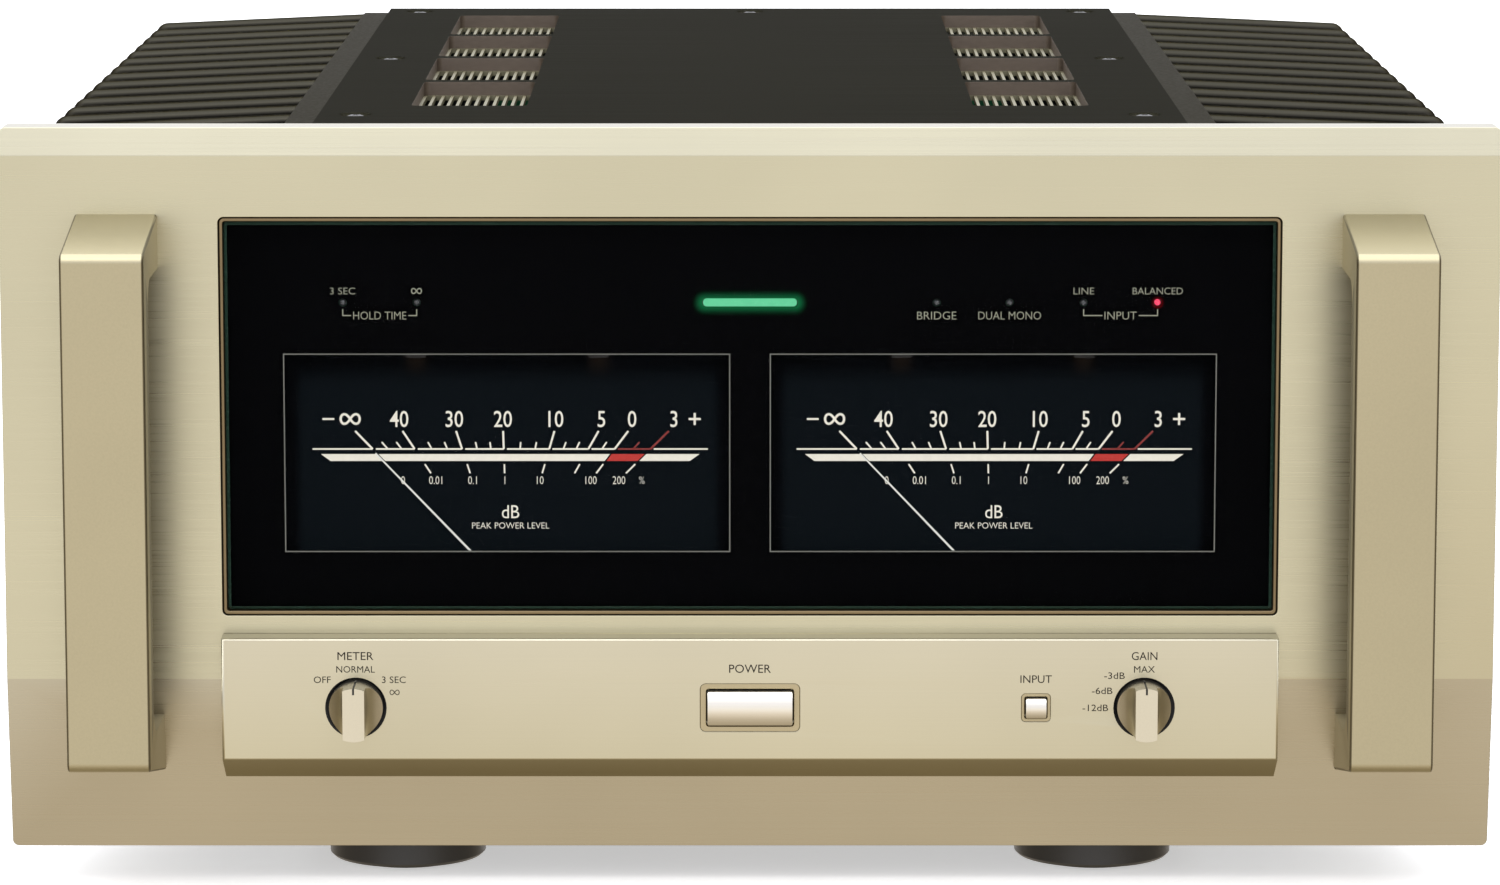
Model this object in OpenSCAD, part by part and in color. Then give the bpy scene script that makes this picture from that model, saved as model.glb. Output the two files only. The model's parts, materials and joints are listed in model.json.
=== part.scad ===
// Stereo power amplifier: an anodised front panel with two needle meters behind glass,
// a raised control panel, two handles, finned side heat sinks and a rear terminal panel.
// Millimetres. +X is the right-hand side seen from the front, the front faces -Y, +Z is up.
// The origin is on the floor, below the middle of the whole amplifier.

/* [Casing] */
// Overall width, over the front panel
case_w = 465; // [455:1:480]
// Overall height, from the floor to the top plate
total_h = 240; // [236:1:250]
// Overall depth, from the handle fronts to the terminal caps
total_d = 515; // [505:1:540]
// Height of the front panel's lower edge above the floor
foot_h = 12; // [10:0.5:14]
// Thickness of the top plate, which is the depth of its vents
top_t = 4.5; // [3:0.5:6]
// Thickness of the bottom plate and the rear panel
sheet_t = 3; // [2:0.5:4]

/* [Front panel] */
// Thickness of the front panel's upper part
panel_t = 15; // [12:0.5:16]
// Height of the slightly sloped band along the top edge
top_band_h = 8.5; // [6:0.5:10]
// How far that band leans back
top_band_lean = 2.5; // [1:0.5:4]
// Height of the crease where the lower face starts to slope back
crease_z = 67; // [64:1:70]
// How far the lower edge lies behind the main face
lower_lean = 7.8; // [5:0.2:9]
// Corner radius of the panel's outline
panel_r = 2; // [1:0.5:4]

/* [Meter window] */
// Width of the opening for the window
window_w = 329.6; // [320:0.4:334]
// Height of the opening for the window
window_h = 125.3; // [123:0.1:127]
// Height of the window's middle above the floor
window_z = 149.75; // [149:0.25:151]
// Distance of each meter's middle from the centre line
meter_x = 75.8; // [73:0.2:78]
// Width of the visible part of a meter
meter_w = 138.6; // [130:0.2:142]
// Height of the visible part of a meter
meter_h = 62; // [56:0.5:64]
// Height of a needle's pivot above the floor
pivot_z = 93.4; // [93:0.1:94]
// Length of a needle from its pivot
needle_len = 60; // [50:0.5:64]
// Angle of a resting needle, to the left of upright
needle_rest = 43.6; // [40:0.2:45]

/* [Control panel] */
// Width of the raised control panel
control_w = 329.2; // [320:0.4:334]
// How far it stands in front of the main face
control_proj = 9.7; // [8:0.1:11]
// Height of its flat top
control_top = 81.5; // [81:0.5:84]
// Height of the lower edge of its front face
control_low = 43.4; // [42:0.2:46]
// Height of the knobs' and buttons' middles
control_z = 59.7; // [58:0.1:61]
// Distance of each knob from the centre line
knob_x = 122.8; // [118:0.2:126]
// Radius of a knob
knob_r = 8.4; // [8:0.1:8.8]
// Radius of the well that a knob sits in
well_r = 9.6; // [9.2:0.1:10]
// How far a knob's grip bar stands out
grip_proj = 13; // [10:0.5:15]
// Width of the grip bar
grip_w = 6.8; // [6:0.2:8]
// Width of the power button
power_w = 26.4; // [24:0.2:27]
// Height of the power button
power_h = 10.6; // [10:0.2:11]
// Distance of the input button from the centre line
input_x = 89.1; // [86:0.1:92]
// Width and height of the input button
input_w = 6.3; // [5.8:0.1:6.6]

/* [Handles] */
// Distance of each handle's middle from the centre line
handle_x = 196.3; // [194:0.1:200]
// Width of a handle
handle_w = 25.6; // [22:0.2:27]
// How far a handle stands in front of the main face
handle_proj = 46; // [42:1:50]
// Thickness of the upright grip
handle_grip = 13; // [11:0.5:15]

/* [Heat sinks] */
// Distance from the centre line to the heat sink's inner face
sink_x = 137; // [136.9:0.1:138]
// Thickness of the heat sink's base
sink_t = 9; // [8:0.5:10]
// Distance from the centre line to the fins' outer edges
fin_x = 225; // [215:1:228]
// Number of fins on each side
fin_count = 15; // [12:1:15]
// Distance from one fin to the next
fin_pitch = 29.17; // [28.5:0.01:29.2]
// Thickness of a fin
fin_t = 4.4; // [4:0.2:5]
// Outer corner radius of a fin
fin_r = 4.8; // [4.8:0.1:8]

/* [Vents and feet] */
// Vents along each side of the top plate
vent_count = 4; // [3:1:4]
// Length of a vent
vent_len = 80; // [70:1:82]
// Distance from one vent to the next
vent_pitch = 87.3; // [86:0.1:88]
// Width of a vent
vent_w = 37; // [34:0.5:38]
// Distance of the vents' middles from the centre line
vent_x = 89.9; // [88:0.1:92]
// Radius of a foot
foot_r = 25; // [22:0.5:28]
// Distance of the feet from the centre line
foot_x = 110; // [100:1:114]

/* [Rear panel] */
// How far the speaker terminals stand out
terminal_proj = 23; // [21:0.5:26]
// Height of the speaker terminals
terminal_z = 72; // [66:1:80]
// Radius of a terminal's turning cap
cap_r = 9.5; // [8:0.5:10.5]
// Radius of the plug bore in a terminal
plug_r = 2.05; // [2.03:0.01:2.1]
// Height of the signal sockets
signal_z = 190; // [180:1:195]

/* [Hidden] */
$fn = 64;
eps = 0.05;

// Planes across the depth
face_y = -total_d / 2 + handle_proj;
panel_back = face_y + panel_t;
rear_y = total_d / 2 - terminal_proj;
rear_in = rear_y - sheet_t;
body_len = rear_in - panel_back;
block_y = face_y - control_proj;
bulkhead_y = panel_back + 46.5;

// Levels
plate_z = foot_h + 1;
floor_z = plate_z + sheet_t;
lid_z = total_h - top_t;
strip_z = total_h - 1.4;
panel_h = total_h - foot_h;

// Window stack, from front to back
glass_y = face_y + 2;
glass_t = 4;
mask_y = glass_y + glass_t;
mask_t = 1;
glass_inset = 1.6;
frame_gap = 0.35;
meter_z = pivot_z + 13.2 + meter_h / 2;
case_y = mask_y + mask_t;
case_wall = 1.4;
case_back = panel_back - 0.2;
dial_t = 1;
dial_y = case_back - case_wall - dial_t;
needle_y = dial_y - 2.6;
case_low = window_z - window_h / 2 + 1.1;
case_high = meter_z + meter_h / 2 + 2.4;
case_half = meter_w / 2 + 2.2;
lamp_z = 184.9;

// Controls: openings are given as width, height and corner radius
bracket_t = 1.5;
bracket_back = panel_back + bracket_t;
shaft_r = 3;
run_gap = 0.05;
knob_back = block_y + 4;
well_depth = 5.5;
recess_depth = 4;
power_recess = [31.3, 15.5, 1.9];
power_hole = [27.3, 11.9, 0.9];
power_stem_r = 2.2;
input_h = 6.2;
input_recess = [9.3, 9.2, 1.4];
input_hole = [7.1, 7, 0.7];
input_stem_r = 1.5;

// Top plate and its vents
screw_head_r = 5.6;
vent_start = face_y + 71;

// Inside
toroid_y = -62;
toroid_r = 74;
toroid_h = 100;
toroid_hole = 20;
can_r = 38;
can_places = [[-44, 75], [44, 75]];
board_x = 108;
board_t = 1.6;

// Rear sockets
inlet_z = 60;
inlet_cavity = [25, 17, 2];
mode_z = 150;
post_r = 4;
base_t = 4;

// Repeated places
sides = [-1, 1];
screw_y = [face_y + 43.4, face_y + 238.5, face_y + 431.6];
screw_places = concat(
    [for (s = sides, y = screw_y) [s * 124.5, y]],
    [[0, face_y + 431.6]]
);
handle_bolt_z = [46, 205];
foot_y = [face_y + 47, rear_in - 50];
terminal_x = [-105, -70, 70, 105];
hold_lamps = [-126.7, -103.7];
gain_lamps = [58.1, 80.8, 103.8, 126.8];
socket_x = [-28, 28];
balanced_x = [-72, 72];
rear_screw_places = concat(
    [for (s = sides, z = [24, 125, 228]) [s * 141, z]],
    [for (x = [-70, 70]) [x, 228]]
);

// ---------- helpers ----------

// Rectangle with round corners, centred on the origin
module round_rect(w, h, r) {
    square([w - 2 * r, h], center = true);
    square([w, h - 2 * r], center = true);
    for (x = sides, y = sides) translate([x * (w / 2 - r), y * (h / 2 - r)]) circle(r);
}

// The same, with width, height and corner radius given as one list
module slab(size) {
    round_rect(size[0], size[1], size[2]);
}

// Extrudes an outline drawn in X and Z from y0 to y1
module along_y(y0, y1) {
    translate([0, y1, 0]) rotate([90, 0, 0]) linear_extrude(y1 - y0) children();
}

// Extrudes an outline drawn in Y and Z from x0 to x1
module along_x(x0, x1) {
    translate([x0, 0, 0]) rotate([90, 0, 90]) linear_extrude(x1 - x0) children();
}

// Cylinder along Y at x and z
module rod_y(r, y0, y1, x = 0, z = 0) {
    translate([x, y0, z]) rotate([-90, 0, 0]) cylinder(r = r, h = y1 - y0);
}

// Cylinder along X at y and z
module rod_x(r, x0, x1, y, z) {
    translate([x0, y, z]) rotate([0, 90, 0]) cylinder(r = r, h = x1 - x0);
}

// Mirrors to the left-hand side where s is -1
module on_side(s) {
    if (s < 0) mirror([1, 0, 0]) children();
    else children();
}

// Box from one corner to the opposite one
module block(low, high) {
    translate(low) cube(high - low);
}

// Front face of the panel's lower part at height z
function lower_face_y(z) = face_y + lower_lean * (crease_z - z) / (crease_z - foot_h);

// ---------- front panel and handles ----------

module front_panel() {
    color([0.80, 0.77, 0.66]) difference() {
        intersection() {
            along_x(-case_w / 2, case_w / 2) polygon([
                [lower_face_y(foot_h), foot_h], [face_y, crease_z],
                [face_y, total_h - top_band_h], [face_y + top_band_lean, total_h],
                [panel_back, total_h], [panel_back, foot_h]
            ]);
            along_y(face_y - 1, panel_back + 1)
                translate([0, foot_h + panel_h / 2]) round_rect(case_w, panel_h, panel_r);
        }
        along_y(face_y - 1, panel_back + 1)
            translate([0, window_z]) round_rect(window_w, window_h, 1.8);
        along_y(face_y - 1, panel_back + 1)
            translate([0, control_z]) round_rect(2 * knob_x + 30, 24, 3);
        for (s = sides, z = handle_bolt_z) rod_y(3.3, face_y - 1, panel_back + 1, s * handle_x, z);
    }
}

// Side outline of a handle, in Y and Z
module handle_outline() {
    front = face_y - handle_proj;
    inner = front + handle_grip;
    top_front = 206.5;
    top_back = 213.3;
    low_front = 46.5;
    low_back = 37.2;
    gap_top = 196.6;
    gap_low = 55.5;
    edge_r = 3;
    gap_r = 8;
    difference() {
        union() {
            polygon([
                [face_y, top_back], [front + edge_r, top_front - 0.1], [front, top_front - edge_r],
                [front, low_front + edge_r], [front + edge_r, low_front - 0.3],
                [lower_face_y(low_back), low_back], [face_y, crease_z]
            ]);
            translate([front + edge_r, top_front - edge_r - 0.1]) circle(edge_r);
            translate([front + edge_r, low_front + edge_r - 0.3]) circle(edge_r);
        }
        translate([inner + gap_r, gap_low]) square([60, gap_top - gap_low]);
        translate([inner, gap_low + gap_r]) square([60, gap_top - gap_low - 2 * gap_r]);
        for (z = [gap_low + gap_r, gap_top - gap_r]) translate([inner + gap_r, z]) circle(gap_r);
    }
}

module handle(side) {
    color([0.82, 0.78, 0.66]) difference() {
        along_x(side * handle_x - handle_w / 2, side * handle_x + handle_w / 2) handle_outline();
        for (z = handle_bolt_z) rod_y(3, face_y - 16, face_y + 9, side * handle_x, z);
    }
}

module left_handle() { handle(-1); }
module right_handle() { handle(1); }

module handle_bolts() {
    color("dimgray") for (s = sides, z = handle_bolt_z) {
        rod_y(3, face_y - 15, panel_back + eps, s * handle_x, z);
        difference() {
            rod_y(5.2, panel_back, panel_back + 4.5, s * handle_x, z);
            translate([s * handle_x, panel_back + 5, z]) rotate([90, 0, 0])
                cylinder(r = 2.6, h = 3, $fn = 6);
        }
    }
}

// ---------- window and meters ----------

module window_frame() {
    outer_w = window_w - 2 * frame_gap;
    outer_h = window_h - 2 * frame_gap;
    color([0.72, 0.66, 0.55]) along_y(face_y + 0.6, case_y) difference() {
        translate([0, window_z]) round_rect(outer_w, outer_h, 1.5);
        translate([0, window_z])
            round_rect(window_w - 2 * glass_inset + 0.4, window_h - 2 * glass_inset + 0.4, 0.8);
    }
}

module pane_outline() {
    translate([0, window_z])
        round_rect(window_w - 2 * glass_inset, window_h - 2 * glass_inset, 0.6);
}

module window_glass() {
    color([0.1, 0.2, 0.18, 0.4]) along_y(glass_y, mask_y) pane_outline();
}

module window_mask() {
    color([0.03, 0.03, 0.03]) along_y(mask_y, mask_y + mask_t) difference() {
        pane_outline();
        for (s = sides) translate([s * meter_x, meter_z]) round_rect(meter_w, meter_h, 0.6);
        for (x = concat(hold_lamps, gain_lamps)) translate([x, lamp_z]) circle(1.3);
        translate([0, lamp_z]) round_rect(30, 3, 1.45);
    }
}

module meter_cases() {
    height = case_high - case_low;
    middle = (case_high + case_low) / 2;
    color([0.08, 0.08, 0.09]) for (s = sides) difference() {
        along_y(case_y, case_back)
            translate([s * meter_x, middle]) round_rect(2 * case_half, height, 1.2);
        along_y(case_y - 1, case_back - case_wall)
            translate([s * meter_x, middle])
                square([2 * (case_half - case_wall), height - 2 * case_wall], center = true);
        rod_y(1.6, case_y, case_back + 1, s * meter_x, pivot_z);
    }
}

module meter_dials() {
    height = case_high - case_low - 2 * case_wall - 0.4;
    middle = (case_high + case_low) / 2;
    color([0.05, 0.06, 0.09]) for (s = sides) difference() {
        along_y(dial_y, dial_y + dial_t) translate([s * meter_x, middle])
            square([2 * (case_half - case_wall) - 0.4, height], center = true);
        rod_y(1.6, dial_y - 1, dial_y + 3, s * meter_x, pivot_z);
    }
}

module needle(side) {
    color([0.95, 0.9, 0.78]) translate([side * meter_x, 0, pivot_z]) {
        rod_y(0.8, needle_y, case_back + 12);
        rod_y(3, needle_y, needle_y + 1.4);
        rotate([0, -needle_rest, 0]) along_y(needle_y + 0.4, needle_y + 0.9) {
            polygon([[-0.32, 2], [0.32, 2], [0.2, needle_len], [-0.2, needle_len]]);
        }
    }
}

module left_needle() { needle(-1); }
module right_needle() { needle(1); }

module meter_movements() {
    low = case_low + case_wall + 0.3;
    color([0.5, 0.5, 0.52]) for (s = sides) difference() {
        union() {
            block([s * meter_x - 16, case_back, low], [s * meter_x + 16, case_back + 17, low + 22]);
            rod_y(9, case_back + 2, case_back + 20, s * meter_x, low + 13);
        }
        rod_y(0.8 + run_gap, case_back - 1, case_back + 14, s * meter_x, pivot_z);
    }
}

module dial_lamps() {
    top = case_high - case_wall;
    color([1.0, 0.75, 0.4]) for (s = sides, x = [-28.5, 28.5])
        block([s * meter_x + x - 3, case_y + 0.8, top - 2.2], [s * meter_x + x + 3, case_y + 2.8, top]);
}

module indicator_lamps() {
    back = mask_y + mask_t + 2;
    color([0.7, 0.2, 0.15]) {
        for (x = concat(hold_lamps, gain_lamps)) rod_y(1.1, mask_y + 0.3, back, x, lamp_z);
        along_y(mask_y + 0.3, back) translate([0, lamp_z]) round_rect(29.5, 2.5, 1.2);
    }
}

module indicator_board() {
    front = mask_y + mask_t + 2;
    color([0.1, 0.3, 0.15]) {
        block([-140, front, lamp_z - 9], [140, front + 1.6, lamp_z + 12]);
        for (x = [-100, 0, 100]) translate([x, front + 1.6, lamp_z]) block([-6, 0, -4], [6, 4.4, 2]);
    }
}

// ---------- control panel ----------

// Stepped opening for a bezel and the push button inside it
module button_opening(x, recess, hole) {
    along_y(block_y - 1, block_y + recess_depth) translate([x, control_z]) slab(recess);
    along_y(block_y, face_y + 8) translate([x, control_z]) slab(hole);
}

module control_panel() {
    foot_z = 34.7;
    seat = face_y - 0.02;
    color([0.80, 0.76, 0.64]) difference() {
        along_x(-control_w / 2, control_w / 2) polygon([
            [block_y, control_top], [seat, control_top], [seat, crease_z],
            [lower_face_y(foot_z) - 0.02, foot_z], [block_y, control_low]
        ]);
        for (s = sides) {
            rod_y(well_r, block_y - 1, block_y + well_depth, s * knob_x, control_z);
            rod_y(5.2, block_y, face_y + 8, s * knob_x, control_z);
        }
        button_opening(0, power_recess, power_hole);
        button_opening(input_x, input_recess, input_hole);
    }
}

// Flat ring around a push button, let into the control panel
module bezel(x, recess, hole) {
    gap = 0.12;
    color([0.74, 0.69, 0.56])
        along_y(block_y + 0.25, block_y + recess_depth - 0.1) translate([x, control_z]) difference() {
            slab([recess[0] - 2 * gap, recess[1] - 2 * gap, recess[2] - gap]);
            slab(hole);
        }
}

module power_bezel() { bezel(0, power_recess, power_hole); }
module input_bezel() { bezel(input_x, input_recess, input_hole); }

// Push button with a bowed face and a round stem
module push_button(x, w, h, bow_r, stem) {
    front = block_y - 1.6;
    back = block_y + 10;
    bow = bow_r - sqrt(bow_r * bow_r - h * h / 4);
    translate([x, 0, control_z]) {
        intersection() {
            along_y(front - bow, back) round_rect(w, h, 0.5);
            along_x(-w / 2, w / 2) union() {
                translate([front - bow + bow_r, 0]) circle(bow_r, $fn = 128);
                translate([front - bow + bow_r, -h]) square([back - front, 2 * h]);
            }
        }
        rod_y(stem, back - eps, bracket_back + 9);
    }
}

module power_button() {
    color([0.88, 0.86, 0.80]) push_button(0, power_w, power_h, 9, power_stem_r);
}
module input_button() {
    color([0.88, 0.86, 0.80]) push_button(input_x, input_w, input_h, 5, input_stem_r);
}

// Outline of a knob seen from above, in X and Y: a straight bar that spreads into its rim
module knob_outline() {
    scoop_r = 10;
    steps = 14;
    half = grip_w / 2;
    rim = block_y + 0.1;
    sweep = acos((scoop_r - knob_r - 0.5 + half) / scoop_r);
    flank = [for (i = [0 : steps]) let (a = sweep * i / steps)
        [half + scoop_r * (1 - cos(a)), rim + scoop_r * (sin(a) - sin(sweep))]];
    back = [knob_r + 0.5, knob_back];
    right = concat([[half, block_y - grip_proj]], flank, [back]);
    left = [for (i = [len(right) - 1 : -1 : 0]) [-right[i][0], right[i][1]]];
    polygon(concat(right, left));
}

// Turned knob: a disc with a straight grip bar left standing between two scoops
module knob(x) {
    front = block_y - grip_proj;
    color([0.83, 0.80, 0.70]) translate([x, 0, control_z]) difference() {
        intersection() {
            rod_y(knob_r, front - 1, knob_back + 1);
            translate([0, 0, -20]) linear_extrude(40) knob_outline();
        }
        rod_y(shaft_r, block_y - 6, knob_back + 1);
        // groove of the pointer line, along the top and down onto the front
        block([-0.3, front - 1, knob_r - 0.45], [0.3, block_y + 0.5, knob_r + 1]);
        block([-0.3, front - 1, knob_r - 1.9], [0.3, front + 0.4, knob_r]);
    }
}

module knob_shaft(x) {
    color("silver") rod_y(shaft_r, block_y - 6, bracket_back + 12, x, control_z);
}

module meter_knob() { knob(-knob_x); }
module gain_knob() { knob(knob_x); }
module meter_knob_shaft() { knob_shaft(-knob_x); }
module gain_knob_shaft() { knob_shaft(knob_x); }

module control_bracket() {
    color([0.6, 0.6, 0.58]) along_y(panel_back, bracket_back) difference() {
        translate([0, control_z - 4]) square([2 * knob_x + 26, 54], center = true);
        for (s = sides) translate([s * knob_x, control_z]) circle(5);
        translate([0, control_z]) circle(3.2);
        translate([input_x, control_z]) circle(2.5);
    }
}

module rotary_switches() {
    color([0.35, 0.35, 0.38]) for (s = sides) difference() {
        union() {
            rod_y(13, bracket_back, bracket_back + 20, s * knob_x, control_z);
            rod_y(4.9, panel_back - 8, bracket_back + eps, s * knob_x, control_z);
        }
        rod_y(shaft_r + run_gap, panel_back - 9, bracket_back + 14, s * knob_x, control_z);
    }
}

module push_switches() {
    color([0.15, 0.15, 0.17]) {
        difference() {
            block([-13, bracket_back, control_z - 8], [13, bracket_back + 30, control_z + 8]);
            rod_y(power_stem_r + run_gap, bracket_back - 1, bracket_back + 16, 0, control_z);
        }
        difference() {
            translate([input_x, 0, control_z]) block([-6, bracket_back, -6], [6, bracket_back + 20, 6]);
            rod_y(input_stem_r + run_gap, bracket_back - 1, bracket_back + 14, input_x, control_z);
        }
    }
}

// ---------- top, sides, bottom and rear ----------

module vent_outlines() {
    for (s = sides, k = [0 : vent_count - 1])
        translate([s * vent_x, vent_start + k * vent_pitch + vent_len / 2])
            round_rect(vent_w, vent_len, 2.4);
}

module top_plate() {
    width = 2 * 136.25;
    color([0.2, 0.2, 0.18]) difference() {
        translate([0, (panel_back + rear_y) / 2, lid_z]) linear_extrude(top_t) difference() {
            square([width, rear_y - panel_back - 0.4], center = true);
            translate([0, -(panel_back + rear_y) / 2]) vent_outlines();
        }
        for (p = screw_places) translate([p[0], p[1], lid_z]) {
            translate([0, 0, -1]) cylinder(r = 2.2, h = top_t + 2);
            translate([0, 0, top_t - 1.5]) cylinder(r1 = 2.6, r2 = screw_head_r, h = 1.5);
            translate([0, 0, top_t]) cylinder(r = screw_head_r, h = 1);
        }
    }
}

module top_screws() {
    color("silver") for (p = screw_places) translate([p[0], p[1], lid_z]) {
        translate([0, 0, -6]) cylinder(r = 2, h = top_t + 5);
        difference() {
            intersection() {
                translate([0, 0, top_t - 1.5]) cylinder(r1 = 2.6, r2 = 3.8, h = 1.3);
                translate([0, 0, top_t - 7]) sphere(r = 7.0);
            }
            translate([0, 0, top_t - 0.9]) cylinder(r = 1.2, h = 2, $fn = 6);
        }
    }
}

module vent_grilles() {
    rib_pitch = 3;
    rib_w = 1;
    slots = floor(vent_w / rib_pitch);
    depth = 1.6;
    margin = 5;
    end = vent_start + (vent_count - 1) * vent_pitch + vent_len;
    color([0.4, 0.39, 0.3]) for (s = sides) difference() {
        block(
            [s * vent_x - vent_w / 2 - margin, vent_start - margin, lid_z - depth],
            [s * vent_x + vent_w / 2 + margin, end + margin, lid_z]
        );
        for (k = [0 : vent_count - 1], i = [0 : slots - 1])
            translate([
                s * vent_x + (i - (slots - 1) / 2) * rib_pitch - (rib_pitch - rib_w) / 2,
                vent_start + k * vent_pitch + 1, lid_z - depth - 1
            ]) cube([rib_pitch - rib_w, vent_len - 2, depth + 2]);
    }
}

module top_frame() {
    outer = 136.9;
    inner = 115;
    color([0.55, 0.55, 0.53]) translate([0, 0, lid_z - 6]) linear_extrude(6) difference() {
        translate([-outer, panel_back]) square([2 * outer, rear_in - panel_back]);
        translate([-inner, panel_back + 12]) square([2 * inner, rear_in - panel_back - 36]);
        for (p = screw_places) translate(p) circle(2);
    }
}

// One heat sink on the right-hand side, fins pointing to +X
module heatsink() {
    base_out = sink_x + sink_t;
    slope = 2.6;
    tip = fin_t / 2;
    drop = (fin_x - base_out) * tan(slope);
    top_z = strip_z - 0.2;
    low_z = floor_z + 6;
    corner_x = fin_x - fin_r;
    corner_z = top_z - drop - fin_r + 0.2;
    color([0.27, 0.26, 0.22]) union() {
        block([sink_x, panel_back, floor_z], [base_out, rear_in, strip_z]);
        for (k = [0 : fin_count - 1]) translate([0, face_y + 31 + k * fin_pitch, 0]) {
            along_y(-tip, tip) polygon([
                [base_out - 1, low_z], [fin_x - tip, low_z], [fin_x - tip, corner_z],
                [corner_x, corner_z + fin_r - tip], [base_out - 1, top_z - tip]
            ]);
            translate([fin_x - tip, 0, low_z]) cylinder(r = tip, h = corner_z - low_z);
            translate([corner_x, 0, corner_z]) rotate([90, 0, 0])
                rotate_extrude(angle = 90) translate([fin_r - tip, 0]) circle(tip);
            translate([base_out - 1, 0, top_z - tip])
                rotate([0, 90 + atan2(top_z - corner_z - fin_r, corner_x - base_out + 1), 0])
                    cylinder(r = tip, h = norm([corner_x - base_out + 1, top_z - corner_z - fin_r]));
        }
    }
}

module left_heatsink() { mirror([1, 0, 0]) heatsink(); }
module right_heatsink() { heatsink(); }

module bottom_plate() {
    half = sink_x + sink_t;
    color([0.3, 0.3, 0.3]) translate([0, 0, plate_z]) linear_extrude(sheet_t) difference() {
        translate([-half, panel_back]) square([2 * half, body_len]);
        for (s = sides, k = [0 : 9]) translate([s * 88, 8 + (k - 4.5) * 12]) round_rect(60, 5, 2.4);
    }
}

module bulkhead() {
    color([0.6, 0.6, 0.58]) along_y(bulkhead_y, bulkhead_y + 2) difference() {
        translate([-136.5, floor_z]) square([273, lid_z - floor_z - 8]);
        for (x = [-100, 100]) translate([x, 150]) circle(12);
    }
}

module rear_panel() {
    half = sink_x + sink_t;
    color([0.2, 0.2, 0.19]) along_y(rear_in, rear_y) difference() {
        translate([-half, plate_z]) square([2 * half, lid_z - plate_z]);
        translate([0, inlet_z]) round_rect(31, 24, 2);
        for (x = terminal_x) translate([x, terminal_z]) circle(6);
        for (x = socket_x) translate([x, signal_z]) circle(4);
        for (x = balanced_x) translate([x, signal_z]) circle(12);
        translate([0, mode_z]) round_rect(18, 8, 1);
        for (p = rear_screw_places) translate(p) circle(1.7);
    }
}

module rear_screws() {
    color("silver") for (p = rear_screw_places) {
        rod_y(1.6, rear_y - 2.8, rear_y + eps, p[0], p[1]);
        difference() {
            rod_y(3, rear_y, rear_y + 1.8, p[0], p[1]);
            translate([p[0], rear_y + 2, p[1]]) rotate([90, 0, 0]) cylinder(r = 1.3, h = 1.2, $fn = 6);
        }
    }
}

// ---------- inside ----------

module transformer() {
    round_r = 12;
    half_w = (toroid_r - toroid_hole) / 2;
    color([0.75, 0.6, 0.25]) translate([0, toroid_y, floor_z + toroid_h / 2]) rotate_extrude()
        translate([toroid_hole + half_w, 0]) round_rect(2 * half_w, toroid_h, round_r);
}

module transformer_clamp() {
    top = floor_z + toroid_h;
    color([0.5, 0.5, 0.5]) translate([0, toroid_y, 0]) {
        translate([0, 0, top]) cylinder(r = 44, h = 4);
        translate([0, 0, floor_z]) cylinder(r = 5, h = toroid_h + 10);
        translate([0, 0, top + 3.9]) cylinder(r = 9, h = 7, $fn = 6);
    }
}

module filter_capacitors() {
    color([0.1, 0.1, 0.12]) for (p = can_places) translate([p[0], p[1], floor_z + 3]) {
        cylinder(r = can_r, h = 115);
        for (x = sides) translate([x * 12, 0, 114.9]) cylinder(r = 4, h = 8);
    }
}

module capacitor_bracket() {
    color([0.6, 0.6, 0.58]) {
        block([-90, 30, floor_z], [90, 120, floor_z + 3]);
        for (p = can_places) translate([p[0], p[1], floor_z + 2.9]) difference() {
            cylinder(r = can_r + 3, h = 22);
            translate([0, 0, 0.1]) cylinder(r = can_r, h = 30);
        }
    }
}

module amp_boards() {
    color([0.1, 0.35, 0.2]) for (s = sides) on_side(s) {
        block([board_x, -132, 40], [board_x + board_t, 205, 205]);
        for (y = [-100 : 34 : 180]) rod_x(8, board_x - 14, board_x + eps, y, 180);
    }
}

module board_spacers() {
    color("silver") for (s = sides, y = [-125, 36, 198], z = [48, 197])
        on_side(s) rod_x(4, board_x + board_t, sink_x, y, z);
}

module output_transistors() {
    color([0.12, 0.12, 0.12]) for (s = sides, k = [0 : 9]) on_side(s)
        translate([sink_x, -118 + k * 33, 100]) block([-5, -8, 0], [0, 8, 21]);
}

module rectifiers() {
    color([0.15, 0.15, 0.15]) for (x = [-32, 32])
        block([x - 15, 135, floor_z], [x + 15, 165, floor_z + 12]);
}

module input_board() {
    color([0.1, 0.35, 0.2]) along_y(rear_in - 24, rear_in - 22) difference() {
        translate([-95, signal_z - 26]) square([190, 50]);
        for (x = balanced_x) translate([x, signal_z]) circle(2);
    }
}

// Bundle of wires that runs front to back above the transformer, with its branches
module wiring_loom() {
    loom_z = 160;
    run_y = [bulkhead_y + 8, 190];
    loom_x = 70;
    color([0.12, 0.12, 0.14]) for (s = sides) on_side(s) {
        rod_y(4, run_y[0], run_y[1], loom_x, loom_z);
        for (y = run_y) translate([loom_x, y, loom_z]) sphere(4);
        for (y = [-90, 10, 110]) rod_x(2.5, loom_x, board_x, y, loom_z);
    }
}

// ---------- rear sockets and terminals ----------

module mains_inlet() {
    color([0.08, 0.08, 0.08]) difference() {
        union() {
            along_y(rear_y, rear_y + 2.5) translate([0, inlet_z]) round_rect(48, 28, 3);
            along_y(rear_in - 20, rear_y + 1) translate([0, inlet_z]) round_rect(30.6, 23.6, 2);
        }
        along_y(rear_in - 16, rear_y + 3) translate([0, inlet_z]) slab(inlet_cavity);
    }
    color("silver") for (x = [-7, 0, 7]) translate([x, 0, inlet_z])
        block([-1, rear_in - 18, -2], [1, rear_in - 6, 2]);
}

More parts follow.
